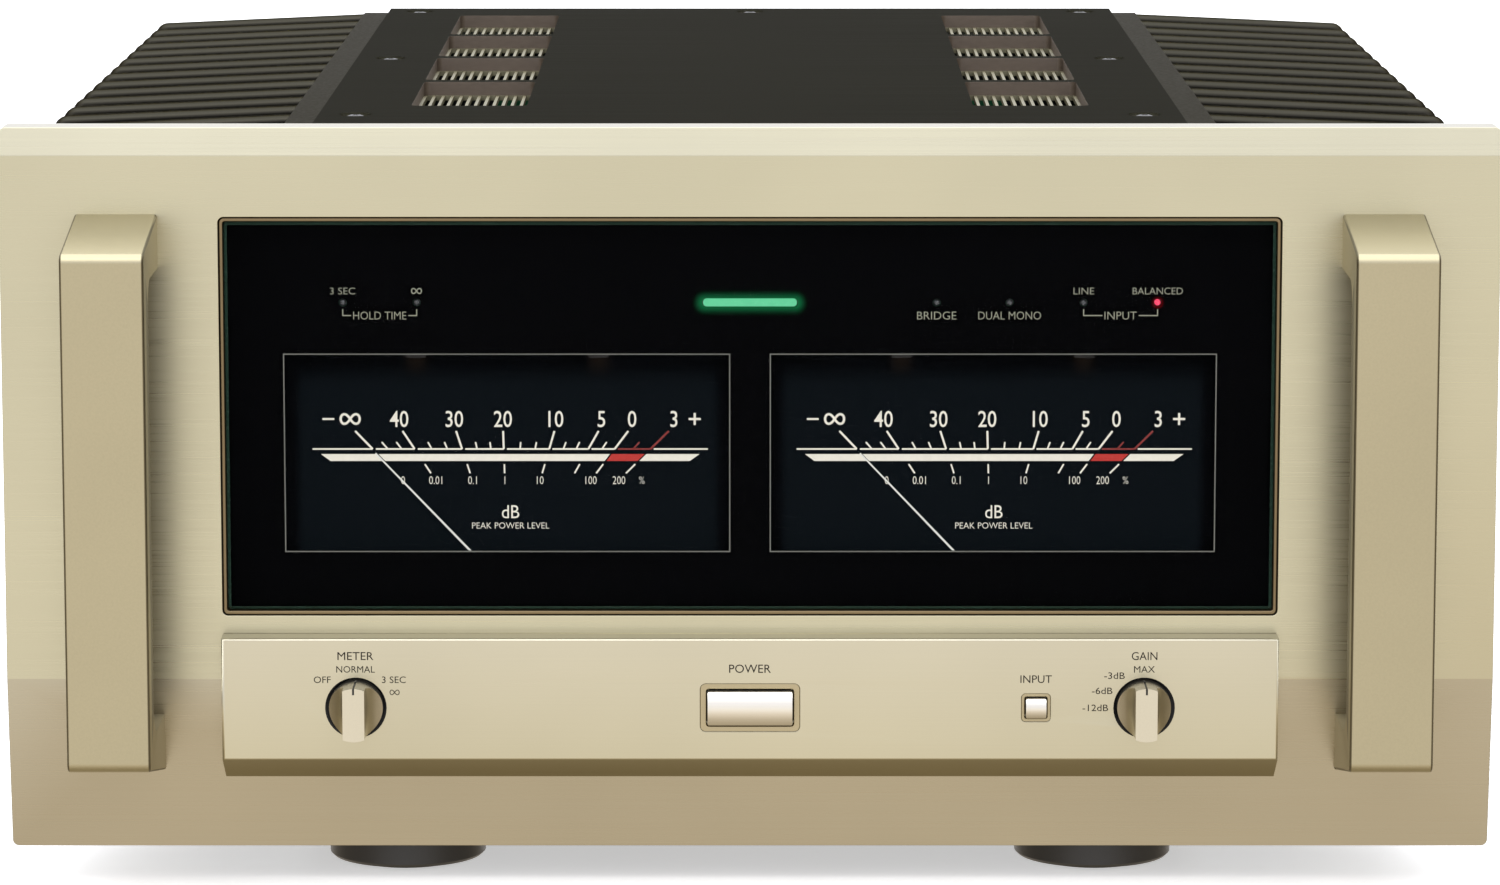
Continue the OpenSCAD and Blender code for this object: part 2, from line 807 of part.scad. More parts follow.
module line_sockets() {
    color([0.85, 0.7, 0.35]) for (x = socket_x) difference() {
        union() {
            rod_y(7, rear_y, rear_y + 3, x, signal_z);
            rod_y(4.15, rear_y, rear_y + 10, x, signal_z);
            rod_y(3.8, rear_in - 8, rear_y + 1, x, signal_z);
        }
        rod_y(1.6, rear_y, rear_y + 11, x, signal_z);
    }
}

module balanced_sockets() {
    color([0.3, 0.3, 0.32]) for (x = balanced_x) difference() {
        union() {
            along_y(rear_y, rear_y + 2) translate([x, signal_z]) round_rect(26, 31, 2);
            rod_y(11.9, rear_in - 20, rear_y + 1, x, signal_z);
        }
        for (a = [90, 210, 330])
            rod_y(1.3, rear_y - 14, rear_y + 3, x + 5.5 * cos(a), signal_z + 5.5 * sin(a));
        for (z = sides) rod_y(1.6, rear_y - 4, rear_y + 3, x + z * 10, signal_z + z * 12.5);
    }
}

module speaker_bases() {
    color([0.1, 0.1, 0.1]) for (x = terminal_x) difference() {
        union() {
            rod_y(11.5, rear_y, rear_y + base_t, x, terminal_z);
            rod_y(5.95, rear_in - 3, rear_y + 1, x, terminal_z);
        }
        rod_y(post_r, rear_in - 4, rear_y + base_t + 1, x, terminal_z);
    }
}

module speaker_posts() {
    end = rear_y + terminal_proj - 3.5;
    color([0.85, 0.7, 0.35]) for (x = terminal_x) difference() {
        rod_y(post_r, rear_in - 12, end, x, terminal_z);
        rod_y(plug_r, end - 18, end + 1, x, terminal_z);
    }
}

// Turning cap of a speaker terminal, with a fluted rim
module terminal_cap(x) {
    low = rear_y + base_t + 1.5;
    high = rear_y + terminal_proj;
    color([0.75, 0.6, 0.3]) translate([x, 0, terminal_z]) difference() {
        rod_y(cap_r, low, high);
        rod_y(post_r + run_gap, low - 1, high + 1);
        for (a = [0 : 30 : 330])
            rod_y(1.3, low + 3, high + 1, (cap_r + 0.5) * cos(a), (cap_r + 0.5) * sin(a));
    }
}

module cap_left_plus() { terminal_cap(terminal_x[3]); }
module cap_left_minus() { terminal_cap(terminal_x[2]); }
module cap_right_minus() { terminal_cap(terminal_x[1]); }
module cap_right_plus() { terminal_cap(terminal_x[0]); }

module mode_switch() {
    color([0.1, 0.1, 0.1]) difference() {
        union() {
            along_y(rear_y, rear_y + 1.2) translate([0, mode_z]) round_rect(30, 13, 1.5);
            along_y(rear_in - 8, rear_y + 0.5) translate([0, mode_z]) round_rect(17.8, 7.8, 1);
        }
        along_y(rear_in - 4, rear_y + 2) translate([0, mode_z]) square([13, 5], center = true);
    }
}

module mode_slider() {
    color("white") along_y(rear_in - 3.5, rear_y + 4) translate([-3.4, mode_z])
        square([5.8, 4.8], center = true);
}

// ---------- feet ----------

module each_foot() {
    for (s = sides, y = foot_y) translate([s * foot_x, y, 0]) children();
}

module feet() {
    color([0.12, 0.12, 0.12]) each_foot() rotate_extrude() polygon([
        [7, 4], [19, 4], [19, 1.5], [foot_r - 1, 1.5], [foot_r, 2.5], [foot_r, plate_z - 1],
        [foot_r - 1, plate_z], [3.2, plate_z], [3.2, 8], [7, 8]
    ]);
}

module foot_pads() {
    color([0.05, 0.05, 0.05]) each_foot() rotate_extrude()
        polygon([[8, 0], [18, 0], [18.9, 1], [18.9, 4], [8, 4]]);
}

front_panel();
control_panel();
window_frame();
window_glass();
window_mask();
left_handle();
right_handle();
handle_bolts();
meter_cases();
meter_dials();
left_needle();
right_needle();
meter_movements();
dial_lamps();
indicator_lamps();
indicator_board();
control_bracket();
rotary_switches();
push_switches();
meter_knob();
meter_knob_shaft();
gain_knob();
gain_knob_shaft();
power_button();
power_bezel();
input_button();
input_bezel();
top_plate();
top_screws();
vent_grilles();
top_frame();
left_heatsink();
right_heatsink();
bottom_plate();
bulkhead();
rear_panel();
rear_screws();
transformer();
transformer_clamp();
filter_capacitors();
capacitor_bracket();
amp_boards();
board_spacers();
output_transistors();
rectifiers();
input_board();
wiring_loom();
mains_inlet();
line_sockets();
balanced_sockets();
speaker_bases();
speaker_posts();
cap_left_plus();
cap_left_minus();
cap_right_plus();
cap_right_minus();
mode_switch();
mode_slider();
feet();
foot_pads();
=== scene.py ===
"""Looks of a stereo power amplifier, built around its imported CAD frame.

Metres in the row frame: +X is the right-hand side seen from the front, the front faces -Y and
+Z is up.
Sizes are written in millimetres times MM.
"""

import json
import math

import bmesh
import bpy
from mathutils import Matrix, Vector


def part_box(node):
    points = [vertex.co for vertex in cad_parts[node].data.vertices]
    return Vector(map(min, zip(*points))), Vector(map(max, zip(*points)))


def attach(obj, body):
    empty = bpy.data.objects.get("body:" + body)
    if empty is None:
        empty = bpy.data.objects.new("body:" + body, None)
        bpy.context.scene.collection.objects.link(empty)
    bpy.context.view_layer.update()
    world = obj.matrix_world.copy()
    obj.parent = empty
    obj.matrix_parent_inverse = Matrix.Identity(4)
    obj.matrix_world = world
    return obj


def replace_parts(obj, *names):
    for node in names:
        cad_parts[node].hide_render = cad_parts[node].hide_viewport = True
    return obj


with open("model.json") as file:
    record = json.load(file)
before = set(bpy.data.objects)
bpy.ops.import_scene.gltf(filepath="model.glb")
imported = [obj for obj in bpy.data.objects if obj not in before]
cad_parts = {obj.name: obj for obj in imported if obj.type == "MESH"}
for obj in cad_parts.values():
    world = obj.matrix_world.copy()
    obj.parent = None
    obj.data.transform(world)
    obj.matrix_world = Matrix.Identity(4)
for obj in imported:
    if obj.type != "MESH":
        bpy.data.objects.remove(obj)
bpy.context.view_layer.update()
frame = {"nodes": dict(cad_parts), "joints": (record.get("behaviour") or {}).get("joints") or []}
nodes = frame["nodes"]
joints = {joint["name"]: joint for joint in frame["joints"]}

MM = 0.001
PRINT_T = 0.05 * MM      # thickness of lettering and lines


# ---------- places, read from the frame ----------


def solid_boxes(node):
    """Lowest and highest corner of each separate solid in a CAD node, from left to right."""
    mesh = bmesh.new()
    mesh.from_mesh(nodes[node].data)
    bmesh.ops.remove_doubles(mesh, verts=mesh.verts, dist=1e-7)
    seen, boxes = set(), []
    for start in mesh.verts:
        if start in seen:
            continue
        seen.add(start)
        solid, front = [], [start]
        while front:
            vertex = front.pop()
            solid.append(vertex.co.copy())
            for edge in vertex.link_edges:
                other = edge.other_vert(vertex)
                if other not in seen:
                    seen.add(other)
                    front.append(other)
        low = Vector(min(point[axis] for point in solid) for axis in range(3))
        high = Vector(max(point[axis] for point in solid) for axis in range(3))
        boxes.append((low, high))
    mesh.free()
    return sorted(boxes, key=lambda pair: (pair[0] + pair[1]).x)


def middle(pair):
    """Centre of a box given by its two corners."""
    return (pair[0] + pair[1]) / 2


dial_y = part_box("meter_dials")[0].y
rear_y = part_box("rear_panel")[1].y
handle_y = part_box("left_handle")[0].y
control_low, control_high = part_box("control_panel")
glass_low, glass_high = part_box("window_glass")
mask_low, mask_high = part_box("window_mask")
lamp_places = [middle(pair) for pair in solid_boxes("indicator_lamps")]
pivots = [Vector(joints[name]["pos_m"]) for name in ("left_needle_swing", "right_needle_swing")]
knob_places = [Vector(joints[name]["pos_m"]) for name in ("meter_knob_turn", "gain_knob_turn")]
# Opening of a meter in the mask
meter_w = 138.6 * MM
meter_low_z = pivots[0].z + 13.2 * MM
meter_high_z = meter_low_z + 62 * MM


# ---------- materials ----------


def screen(red, green, blue):
    """Linear colour of an 8-bit screen colour."""
    return tuple(((c / 255 + 0.055) / 1.055) ** 2.4 for c in (red, green, blue)) + (1.0,)


def maths(tree, operation, *values):
    """A math node fed with numbers or sockets; returns its output."""
    node = tree.nodes.new("ShaderNodeMath")
    node.operation = operation
    for socket, value in zip(node.inputs, values):
        if isinstance(value, (int, float)):
            socket.default_value = value
        else:
            tree.links.new(value, socket)
    return node.outputs[0]


def fade(tree, value, start, end, low, high, smooth=False):
    """Maps value from start..end to low..high."""
    node = tree.nodes.new("ShaderNodeMapRange")
    node.interpolation_type = "SMOOTHSTEP" if smooth else "LINEAR"
    tree.links.new(value, node.inputs["Value"])
    for name, number in (("From Min", start), ("From Max", end), ("To Min", low), ("To Max", high)):
        node.inputs[name].default_value = number
    return node.outputs["Result"]


def scaled(tree, color, factor):
    """A colour, or a colour socket, times a factor socket."""
    node = tree.nodes.new("ShaderNodeVectorMath")
    node.operation = "SCALE"
    if isinstance(color, tuple):
        node.inputs[0].default_value = color[:3]
    else:
        tree.links.new(color, node.inputs[0])
    tree.links.new(factor, node.inputs["Scale"])
    return node.outputs[0]


def combined(tree, operation, first, second):
    """Sum or product of two colour sockets."""
    node = tree.nodes.new("ShaderNodeVectorMath")
    node.operation = operation
    tree.links.new(first, node.inputs[0])
    tree.links.new(second, node.inputs[1])
    return node.outputs[0]


def place_of(tree):
    """Object coordinates, which are the row frame's own metres."""
    return tree.nodes.new("ShaderNodeTexCoord").outputs["Object"]


def parts_of(tree, vector):
    """The X, Y and Z sockets of a vector socket."""
    split = tree.nodes.new("ShaderNodeSeparateXYZ")
    tree.links.new(vector, split.inputs[0])
    return split.outputs["X"], split.outputs["Y"], split.outputs["Z"]


def noise(tree, scale, detail=3.0):
    """Noise with that many cycles per metre along each axis."""
    stretch = tree.nodes.new("ShaderNodeMapping")
    stretch.inputs["Scale"].default_value = scale
    tree.links.new(place_of(tree), stretch.inputs["Vector"])
    node = tree.nodes.new("ShaderNodeTexNoise")
    node.inputs["Scale"].default_value = 1.0
    node.inputs["Detail"].default_value = detail
    tree.links.new(stretch.outputs["Vector"], node.inputs["Vector"])
    return node.outputs["Fac"]


def surface(name, color, roughness, metallic=0.0, grain=(400, 400, 400), tone=0.08,
            spread=0.06, relief=0.0, cloud=0.03, **sockets):
    """Principled material. Its grain, in cycles per metre along each axis, varies the tone and the
    roughness and raises a relief of that many millimetres; cloud adds broad, faint patches."""
    material = bpy.data.materials.new(name)
    material.use_nodes = True
    tree = material.node_tree
    shader = tree.nodes["Principled BSDF"]
    fine = noise(tree, grain)
    broad = noise(tree, (14, 14, 14), 2.0)
    shade = maths(tree, "MULTIPLY", fade(tree, fine, 0.25, 0.75, 1 - tone, 1 + tone),
                  fade(tree, broad, 0.3, 0.7, 1 - cloud, 1 + cloud))
    tree.links.new(scaled(tree, color, shade), shader.inputs["Base Color"])
    tree.links.new(fade(tree, fine, 0.25, 0.75, roughness - spread, roughness + spread),
                   shader.inputs["Roughness"])
    shader.inputs["Metallic"].default_value = metallic
    if relief:
        bump = tree.nodes.new("ShaderNodeBump")
        bump.inputs["Distance"].default_value = relief * MM
        tree.links.new(fine, bump.inputs["Height"])
        tree.links.new(bump.outputs["Normal"], shader.inputs["Normal"])
    for socket, value in sockets.items():
        shader.inputs[socket.replace("_", " ")].default_value = value
    return material


def glowing(name, color, strength, grain=(500, 500, 500)):
    """Lamp with its own light, or print and paint with painted light: dark by itself, with
    emission; on print and paint this emission stands in for the light falling on it.
    """
    material = surface(name, (0.02, 0.02, 0.02, 1.0), 0.5, grain=grain, Emission_Strength=strength,
                       Specular_IOR_Level=0.1)
    tree = material.node_tree
    shade = fade(tree, noise(tree, grain), 0.25, 0.75, 0.93, 1.0)
    tree.links.new(scaled(tree, color, shade),
                   tree.nodes["Principled BSDF"].inputs["Emission Color"])
    return material


def painted_halo(tree, centre, radius, half_length=0.0):
    """Mask of a painted glow: 1 at a lamp's place on the window, falling to 0 at radius around it.
    """
    x, _, z = parts_of(tree, place_of(tree))
    along = maths(tree, "ABSOLUTE", maths(tree, "SUBTRACT", x, centre.x))
    along = maths(tree, "MAXIMUM", maths(tree, "SUBTRACT", along, half_length), 0.0)
    up = maths(tree, "SUBTRACT", z, centre.z)
    distance = maths(tree, "SQRT", maths(tree, "ADD", maths(tree, "POWER", along, 2.0),
                                         maths(tree, "MULTIPLY", up, up)))
    near = fade(tree, distance, 0.0, radius, 1.0, 0.0, smooth=True)
    return maths(tree, "POWER", near, 2.0)


CHAMPAGNE = screen(190, 184, 157)
BRUSHED = (5, 1500, 4200)

materials = {
    "panel": surface("panel_brushed", CHAMPAGNE, 0.3, 1.0, BRUSHED, 0.025, 0.05, 0.0012),
    "control": surface("control_brushed", screen(194, 188, 166), 0.32, 1.0, BRUSHED, 0.025, 0.05,
                       0.0012),
    # Darker copy of the panel finish for its lower face: painted shade for the darker floor that
    # this face reflects.
    "panel_low_painted_shade": surface("panel_foot_brushed", screen(177, 169, 147), 0.3, 1.0, BRUSHED, 0.025,
                          0.05, 0.0012),
    "handle": surface("handle_blasted", screen(178, 169, 139), 0.44, 1.0, (1500, 1500, 1500), 0.05,
                      0.05, 0.008),
    "knob": surface("knob_turned", screen(206, 199, 178), 0.33, 1.0, (2200, 2200, 2200), 0.03, 0.04,
                    0.003),
    "button": surface("button_satin", screen(222, 217, 204), 0.34, 1.0, BRUSHED, 0.03, 0.04, 0.002),
    "bezel": surface("bezel_satin", screen(178, 166, 134), 0.4, 1.0, BRUSHED, 0.04, 0.05, 0.002),
    "frame": surface("window_bronze", screen(130, 114, 86), 0.38, 1.0, BRUSHED, 0.05, 0.05, 0.002),
    "top": surface("top_brushed", screen(56, 55, 48), 0.5, 1.0, (7, 2400, 2400), 0.12, 0.07, 0.005,
                   Specular_Tint=(0.12, 0.115, 0.085, 1.0)),
    "heatsink": surface("heatsink_anodised", screen(55, 53, 46), 0.36, 1.0, (900, 900, 60), 0.07,
                        0.06, 0.004, Specular_Tint=(0.21, 0.195, 0.13, 1.0)),
    "vent_wall": surface("vent_wall", screen(112, 101, 90), 0.5, 0.8, (300, 300, 1500), 0.1, 0.08,
                         0.01),
    "grille": surface("grille_anodised", screen(138, 133, 108), 0.5, 0.85, (1200, 60, 1200), 0.08,
                      0.06, 0.004),
    "rear": surface("rear_textured", screen(30, 30, 29), 0.5, 0.0, (900, 900, 900), 0.25, 0.12,
                    0.05),
    "base": surface("base_textured", screen(44, 44, 43), 0.6, 0.0, (1500, 1500, 1500), 0.15, 0.08,
                    0.03),
    "steel": surface("screw_steel", screen(186, 186, 180), 0.3, 1.0, (1500, 1500, 1500), 0.06, 0.06,
                     0.004),
    "black_steel": surface("blackened_steel", screen(92, 91, 86), 0.35, 1.0, (1500, 1500, 1500),
                           0.1, 0.08, 0.004),
    "zinc": surface("zinc_sheet", screen(176, 177, 168), 0.38, 1.0, (160, 160, 160), 0.14, 0.1,
                    0.004, 0.08),
    "gold": surface("gold_plate", screen(226, 184, 106), 0.22, 1.0, (900, 900, 900), 0.05, 0.05,
                    0.002),
    "black_chrome": surface("black_chrome", screen(118, 118, 121), 0.22, 1.0, (900, 900, 900), 0.05,
                            0.04, 0.002),
    "rubber": surface("rubber", screen(24, 24, 24), 0.8, 0.0, (2000, 2000, 2000), 0.2, 0.06, 0.03),
    "foot": surface("foot_cast_iron", screen(40, 39, 37), 0.45, 0.0, (1600, 1600, 1600), 0.12, 0.08,
                    0.02),
    "black_plastic": surface("black_plastic", screen(30, 30, 30), 0.45, 0.0, (1600, 1600, 1600),
                             0.12, 0.08, 0.015),
    "case_plastic": surface("case_plastic", screen(6, 6, 7), 0.75, 0.0, (1600, 1600, 1600), 0.12,
                            0.06, 0.01, Specular_IOR_Level=0.1),
    "red_plastic": surface("red_plastic", screen(168, 34, 28), 0.4, 0.0, (1200, 1200, 1200), 0.08,
                           0.06, 0.01),
    "white_plastic": surface("white_plastic", screen(214, 212, 204), 0.45, 0.0, (1200, 1200, 1200),
                             0.04, 0.06, 0.01),
    "board": surface("solder_mask", screen(26, 92, 58), 0.35, 0.0, (300, 300, 300), 0.2, 0.08,
                     0.01),
    "winding": surface("copper_winding", screen(176, 118, 58), 0.4, 0.6, (90, 90, 900), 0.2, 0.08,
                       0.05),
    "can": surface("capacitor_sleeve", screen(26, 28, 44), 0.3, 0.0, (300, 300, 300), 0.1, 0.06,
                   0.01),
    "wire": surface("wire_sleeve", screen(40, 40, 46), 0.5, 0.0, (200, 900, 900), 0.2, 0.08, 0.03),
    "panel_ink": surface("panel_ink", screen(18, 12, 7), 0.6, 0.0, (1800, 1800, 1800), 0.12, 0.06,
                         Specular_IOR_Level=0.2),
    "rear_ink": surface("rear_ink", screen(206, 204, 196), 0.6, 0.0, (1800, 1800, 1800), 0.06,
                        0.06),
    "pointer_ink": surface("pointer_paint", screen(12, 11, 10), 0.5, 0.0, (1800, 1800, 1800), 0.1,
                           0.06),
    # Painted light: the window print, the meter outlines, the dial print and the needles glow by
    # emission, though they are no lamps.
    "window_ink": glowing("window_ink", screen(158, 158, 138), 1.0),
    "outline_ink": glowing("outline_ink", screen(118, 118, 110), 1.0),
    "dial_ink": glowing("dial_ink", screen(238, 233, 218), 1.0),
    "dial_red": glowing("dial_red_ink", screen(188, 36, 24), 1.0),
    "dial_red_line": glowing("dial_red_line_ink", screen(132, 36, 30), 1.0),
    "needle": glowing("needle_paint", screen(224, 224, 216), 1.05),
    "lamp_off": surface("lamp_off", screen(66, 68, 68), 0.5, 0.0, (900, 900, 900), 0.06, 0.06,
                        Specular_IOR_Level=0.2),
    "lamp_red": glowing("lamp_red", screen(255, 70, 106), 1.1),
    "lamp_green": glowing("lamp_green", screen(96, 214, 156), 1.0),
    "lamp_amber": glowing("lamp_amber", screen(110, 80, 40), 0.02),
    "glass_edge": surface("glass_edge", screen(40, 64, 54), 0.25, 0.0, (60, 900, 900), 0.1, 0.06,
                          0.0, Coat_Weight=0.6),
}


def paint_side_edge_shade(material):
    """Painted shade along rounded edges that turn towards the left or right: a darker base colour
    that stands for the dark sides these edges reflect.
    """
    tree = material.node_tree
    normal_x, _, _ = parts_of(tree, tree.nodes.new("ShaderNodeTexCoord").outputs["Normal"])
    sideways = maths(tree, "ABSOLUTE", normal_x)
    edge = maths(tree, "MULTIPLY", fade(tree, sideways, 0.15, 0.4, 0, 0.6, smooth=True),
                 fade(tree, sideways, 0.9, 0.99, 1, 0, smooth=True))
    color = tree.nodes["Principled BSDF"].inputs["Base Color"]
    rest = maths(tree, "SUBTRACT", 1.0, edge)
    tree.links.new(scaled(tree, color.links[0].from_socket, rest), color)


def paint_downward_shade(material, low_z, high_z):
    """Painted shade: lets a finish get a little darker and yellower from high_z down to low_z,
    standing for the darker reflection lower down.
    """
    tree = material.node_tree
    _, _, z = parts_of(tree, place_of(tree))
    tint = tree.nodes.new("ShaderNodeCombineXYZ")
    for axis, lowest in (("X", 0.93), ("Y", 0.91), ("Z", 0.82)):
        tree.links.new(fade(tree, z, low_z, high_z, lowest, 1.04), tint.inputs[axis])
    color = tree.nodes["Principled BSDF"].inputs["Base Color"]
    tree.links.new(combined(tree, "MULTIPLY", color.links[0].from_socket, tint.outputs[0]), color)


def tinted_glass():
    """Clear pane with a faint reflection, so that the black mask behind it stays black."""
    material = surface("window_tint", screen(4, 8, 8), 0.06, 0.0, (8, 8, 8), 0.1, 0.01,
                       Specular_IOR_Level=0.15)
    material.node_tree.nodes["Principled BSDF"].inputs["Alpha"].default_value = 0.03
    return material


def mask_print_painted_glow():
    """Black print behind the window, with painted light: an emitted glow where the lit lamps would
    spill their light on it.
    """
    material = surface("mask_print_painted_glow", screen(2, 2, 3), 0.6, 0.0, (600, 600, 600), 0.2, 0.05,
                       Specular_IOR_Level=0.0, Emission_Strength=1.0)
    tree = material.node_tree
    # Painted red glow around the lit lamp and painted green glow around the lit bar.
    red = scaled(tree, screen(170, 10, 24), painted_halo(tree, lamp_places[-1], 2.6 * MM))
    bar = next(place for place in lamp_places if abs(place.x) < 5 * MM)
    green = scaled(tree, screen(20, 120, 70), painted_halo(tree, bar, 5 * MM, 14 * MM))
    tree.links.new(combined(tree, "ADD", red, green),
                   tree.nodes["Principled BSDF"].inputs["Emission Color"])
    return material


def dial_print_painted_glow():
    """Blue-black dial with painted light as emission: a blue glow that fades to painted shade at
    its rim, and a faint amber glow below its two lamps.
    """
    material = surface("dial_print_painted_glow", screen(3, 4, 6), 0.85, 0.0, (700, 700, 700), 0.1, 0.05,
                       Specular_IOR_Level=0.0, Emission_Strength=1.0)
    tree = material.node_tree
    x, _, z = parts_of(tree, place_of(tree))
    out = maths(tree, "ABSOLUTE", maths(tree, "SUBTRACT", maths(tree, "ABSOLUTE", x), pivots[1].x))
    # Painted glow that fades to painted shade at the sides and the top of the dial.
    side = fade(tree, out, meter_w / 2 - 6 * MM, meter_w / 2 - 2 * MM, 1.0, 0.0, smooth=True)
    top = fade(tree, z, meter_high_z - 12 * MM, meter_high_z - 3 * MM, 1.0, 0.0, smooth=True)
    lit = maths(tree, "MULTIPLY", side, top)
    blue = scaled(tree, screen(7, 12, 15), lit)
    # Painted pool of amber light below each of the two dial lamps.
    lamp = maths(tree, "SUBTRACT", out, 28.5 * MM)
    spot = maths(tree, "MULTIPLY",
                 fade(tree, maths(tree, "ABSOLUTE", lamp), 0.0, 5 * MM, 1.0, 0.0, smooth=True),
                 fade(tree, z, meter_high_z - 9 * MM, meter_high_z - 2 * MM, 0.0, 1.0, smooth=True))
    amber = scaled(tree, screen(20, 14, 8), spot)
    tree.links.new(combined(tree, "ADD", blue, amber),
                   tree.nodes["Principled BSDF"].inputs["Emission Color"])
    return material


# Painted shade on the handles' side edges.
paint_side_edge_shade(materials["handle"])
# Painted shade on the control panel, darker and yellower towards its bottom.
paint_downward_shade(materials["control"], control_low.z, control_high.z)
materials["glass"] = tinted_glass()
materials["mask"] = mask_print_painted_glow()
materials["dial"] = dial_print_painted_glow()


# ---------- building pieces ----------


def add_piece(name, mesh, body, slot, *finishes):
    """Turns a bmesh into a piece that rides on a CAD body and takes those materials."""
    data = bpy.data.meshes.new(name)
    mesh.to_mesh(data)
    mesh.free()
    for finish in finishes:
        data.materials.append(materials[finish])
    piece = bpy.data.objects.new(name, data)
    bpy.context.scene.collection.objects.link(piece)
    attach(piece, body)
    return piece


def edged(node, body, slot, finish, width, segments=2, angle=30, chosen=None, crisp=True):
    """Stands for a CAD node: the same shape, with its edges sharper than angle rounded. Where a
    test is given, only the edges that it picks are rounded. Long creases flatter than angle stay
    crisp where crisp is true; otherwise they are shaded as the facets of a round."""
    mesh = bmesh.new()
    mesh.from_mesh(nodes[node].data)
    # Where a test is given, the almost equal points that end a tangent arc are joined as well
    nearby = 0.03 * MM if chosen else 0.001 * MM
    bmesh.ops.remove_doubles(mesh, verts=mesh.verts, dist=nearby)
    bmesh.ops.dissolve_limit(mesh, angle_limit=math.radians(0.3), verts=mesh.verts,
                             edges=mesh.edges)
    for face in mesh.faces:
        face.material_index = 0
        face.smooth = True
    rounded = mesh.edges.layers.float.new("bevel_weight_edge")
    for edge in mesh.edges:
        turn = math.degrees(edge.calc_face_angle(0))
        is_crease = 0.5 < turn < angle and edge.calc_length() > 20 * MM
        edge.smooth = not (crisp and is_crease)
        edge[rounded] = turn > angle and (chosen is None or chosen(edge))
    piece = add_piece(node + "_finished", mesh, body, slot, finish)
    bevel = piece.modifiers.new("rounded_edges", "BEVEL")
    bevel.width = width
    bevel.segments = segments
    bevel.use_clamp_overlap = chosen is None
    bevel.limit_method = "WEIGHT"
    shading = piece.modifiers.new("flat_faces", "WEIGHTED_NORMAL")
    shading.weight = 100
    shading.keep_sharp = True
    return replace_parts(piece, node)


def repaint(piece, finish, wanted):
    """Gives another finish to the faces that the test picks."""
    piece.data.materials.append(materials[finish])
    for polygon in piece.data.polygons:
        if wanted(polygon):
            polygon.material_index = 1


def round_outline(low_x, high_x, low_z, high_z, radius, steps=6):
    """Points of a rectangle with round corners in X and Z, anticlockwise seen from the front."""
    points = []
    corners = ((high_x - radius, low_z + radius, -90), (high_x - radius, high_z - radius, 0),
               (low_x + radius, high_z - radius, 90), (low_x + radius, low_z + radius, 180))
    for x, z, start in corners:
        for step in range(steps + 1):
            angle = math.radians(start + 90 * step / steps)
            points.append((x + radius * math.cos(angle), z + radius * math.sin(angle)))
    return points


def add_loop(mesh, outline, y):
    """Vertices of an outline in X and Z, at one depth."""
    return [mesh.verts.new((x, y, z)) for x, z in outline]


def bridge(mesh, front, back, index=0):
    """Joins two loops of the same length with a band of faces that point outwards."""
    count = len(front)
    for k in range(count):
        face = mesh.faces.new((front[k], back[k], back[(k + 1) % count], front[(k + 1) % count]))
        face.material_index = index


def prism(mesh, outline, front_y, back_y):
    """Closed prism with that outline, given anticlockwise seen from the front."""
    front = add_loop(mesh, outline, front_y)
    back = add_loop(mesh, outline, back_y)
    mesh.faces.new(front)
    mesh.faces.new(list(reversed(back)))
    bridge(mesh, front, back)


def curve_mesh(curve):
    """Mesh of a curve or of a text, which is removed afterwards."""
    holder = bpy.data.objects.new("outline", curve)
    bpy.context.scene.collection.objects.link(holder)
    bpy.context.view_layer.update()
    mesh = bpy.data.meshes.new_from_object(
        holder.evaluated_get(bpy.context.evaluated_depsgraph_get()))
    bpy.data.objects.remove(holder)
    bpy.data.curves.remove(curve)
    return mesh


class Print:
    """Lettering and lines on one plane of the front, or of the rear, as one thin piece."""

    def __init__(self, y, rear=False):
        self.mesh = bmesh.new()
        self.y = y
        self.rear = rear

    def text(self, words, x, z, height, width=None, squeeze=1.0, weight=0.0):
        """Words centred on x and z. height is a capital's, width stretches them to fit, and weight
        thickens their strokes."""
        curve = bpy.data.curves.new("words", "FONT")
        curve.body = words
        curve.resolution_u = 3
        curve.offset = weight
        curve.extrude = 0.5
        glyphs = curve_mesh(curve)
        low = min(v.co.x for v in glyphs.vertices)
        high = max(v.co.x for v in glyphs.vertices)
        tall = height / CAP_HEIGHT
        wide = width / (high - low) if width else tall * squeeze
        turn = Matrix.Rotation(math.radians(90), 4, "X")
        if self.rear:
            turn = Matrix.Rotation(math.radians(180), 4, "Z") @ turn
        size = Matrix.Diagonal((wide, tall, PRINT_T, 1.0))
        centre = Matrix.Translation((-(low + high) / 2, -CAP_HEIGHT / 2, 0))
        glyphs.transform(Matrix.Translation((x, self.y, z)) @ turn @ size @ centre)
        self.mesh.from_mesh(glyphs)
        bpy.data.meshes.remove(glyphs)

    def shape(self, outline):
        """Filled outline, anticlockwise seen from the front."""
        half = PRINT_T / 2
        prism(self.mesh, outline, self.y - half, self.y + half)

    def line(self, start, end, thickness):
        """Straight line between two points in X and Z."""
        way = Vector(end) - Vector(start)
        across = Vector((-way.y, way.x)).normalized() * thickness / 2
        first, last = Vector(start), Vector(end)
        corners = (first - across, last - across, last + across, first + across)
        self.shape([tuple(corner) for corner in corners])

    def infinity(self, x, z, width, height, thickness):
        """Infinity sign as a stroke of even thickness."""
        points = []
        for step in range(40):
            turn = math.tau * step / 40
            spread = 1 + math.sin(turn) ** 2
            points.append((x + width / 2 * math.cos(turn) / spread,
                           z + height * 1.414 * math.sin(turn) * math.cos(turn) / spread))
        for start, end in zip(points, points[1:] + points[:1]):
            self.line(start, end, thickness)

    def piece(self, name, body, slot, finish):
        return add_piece(name, self.mesh, body, slot, finish)


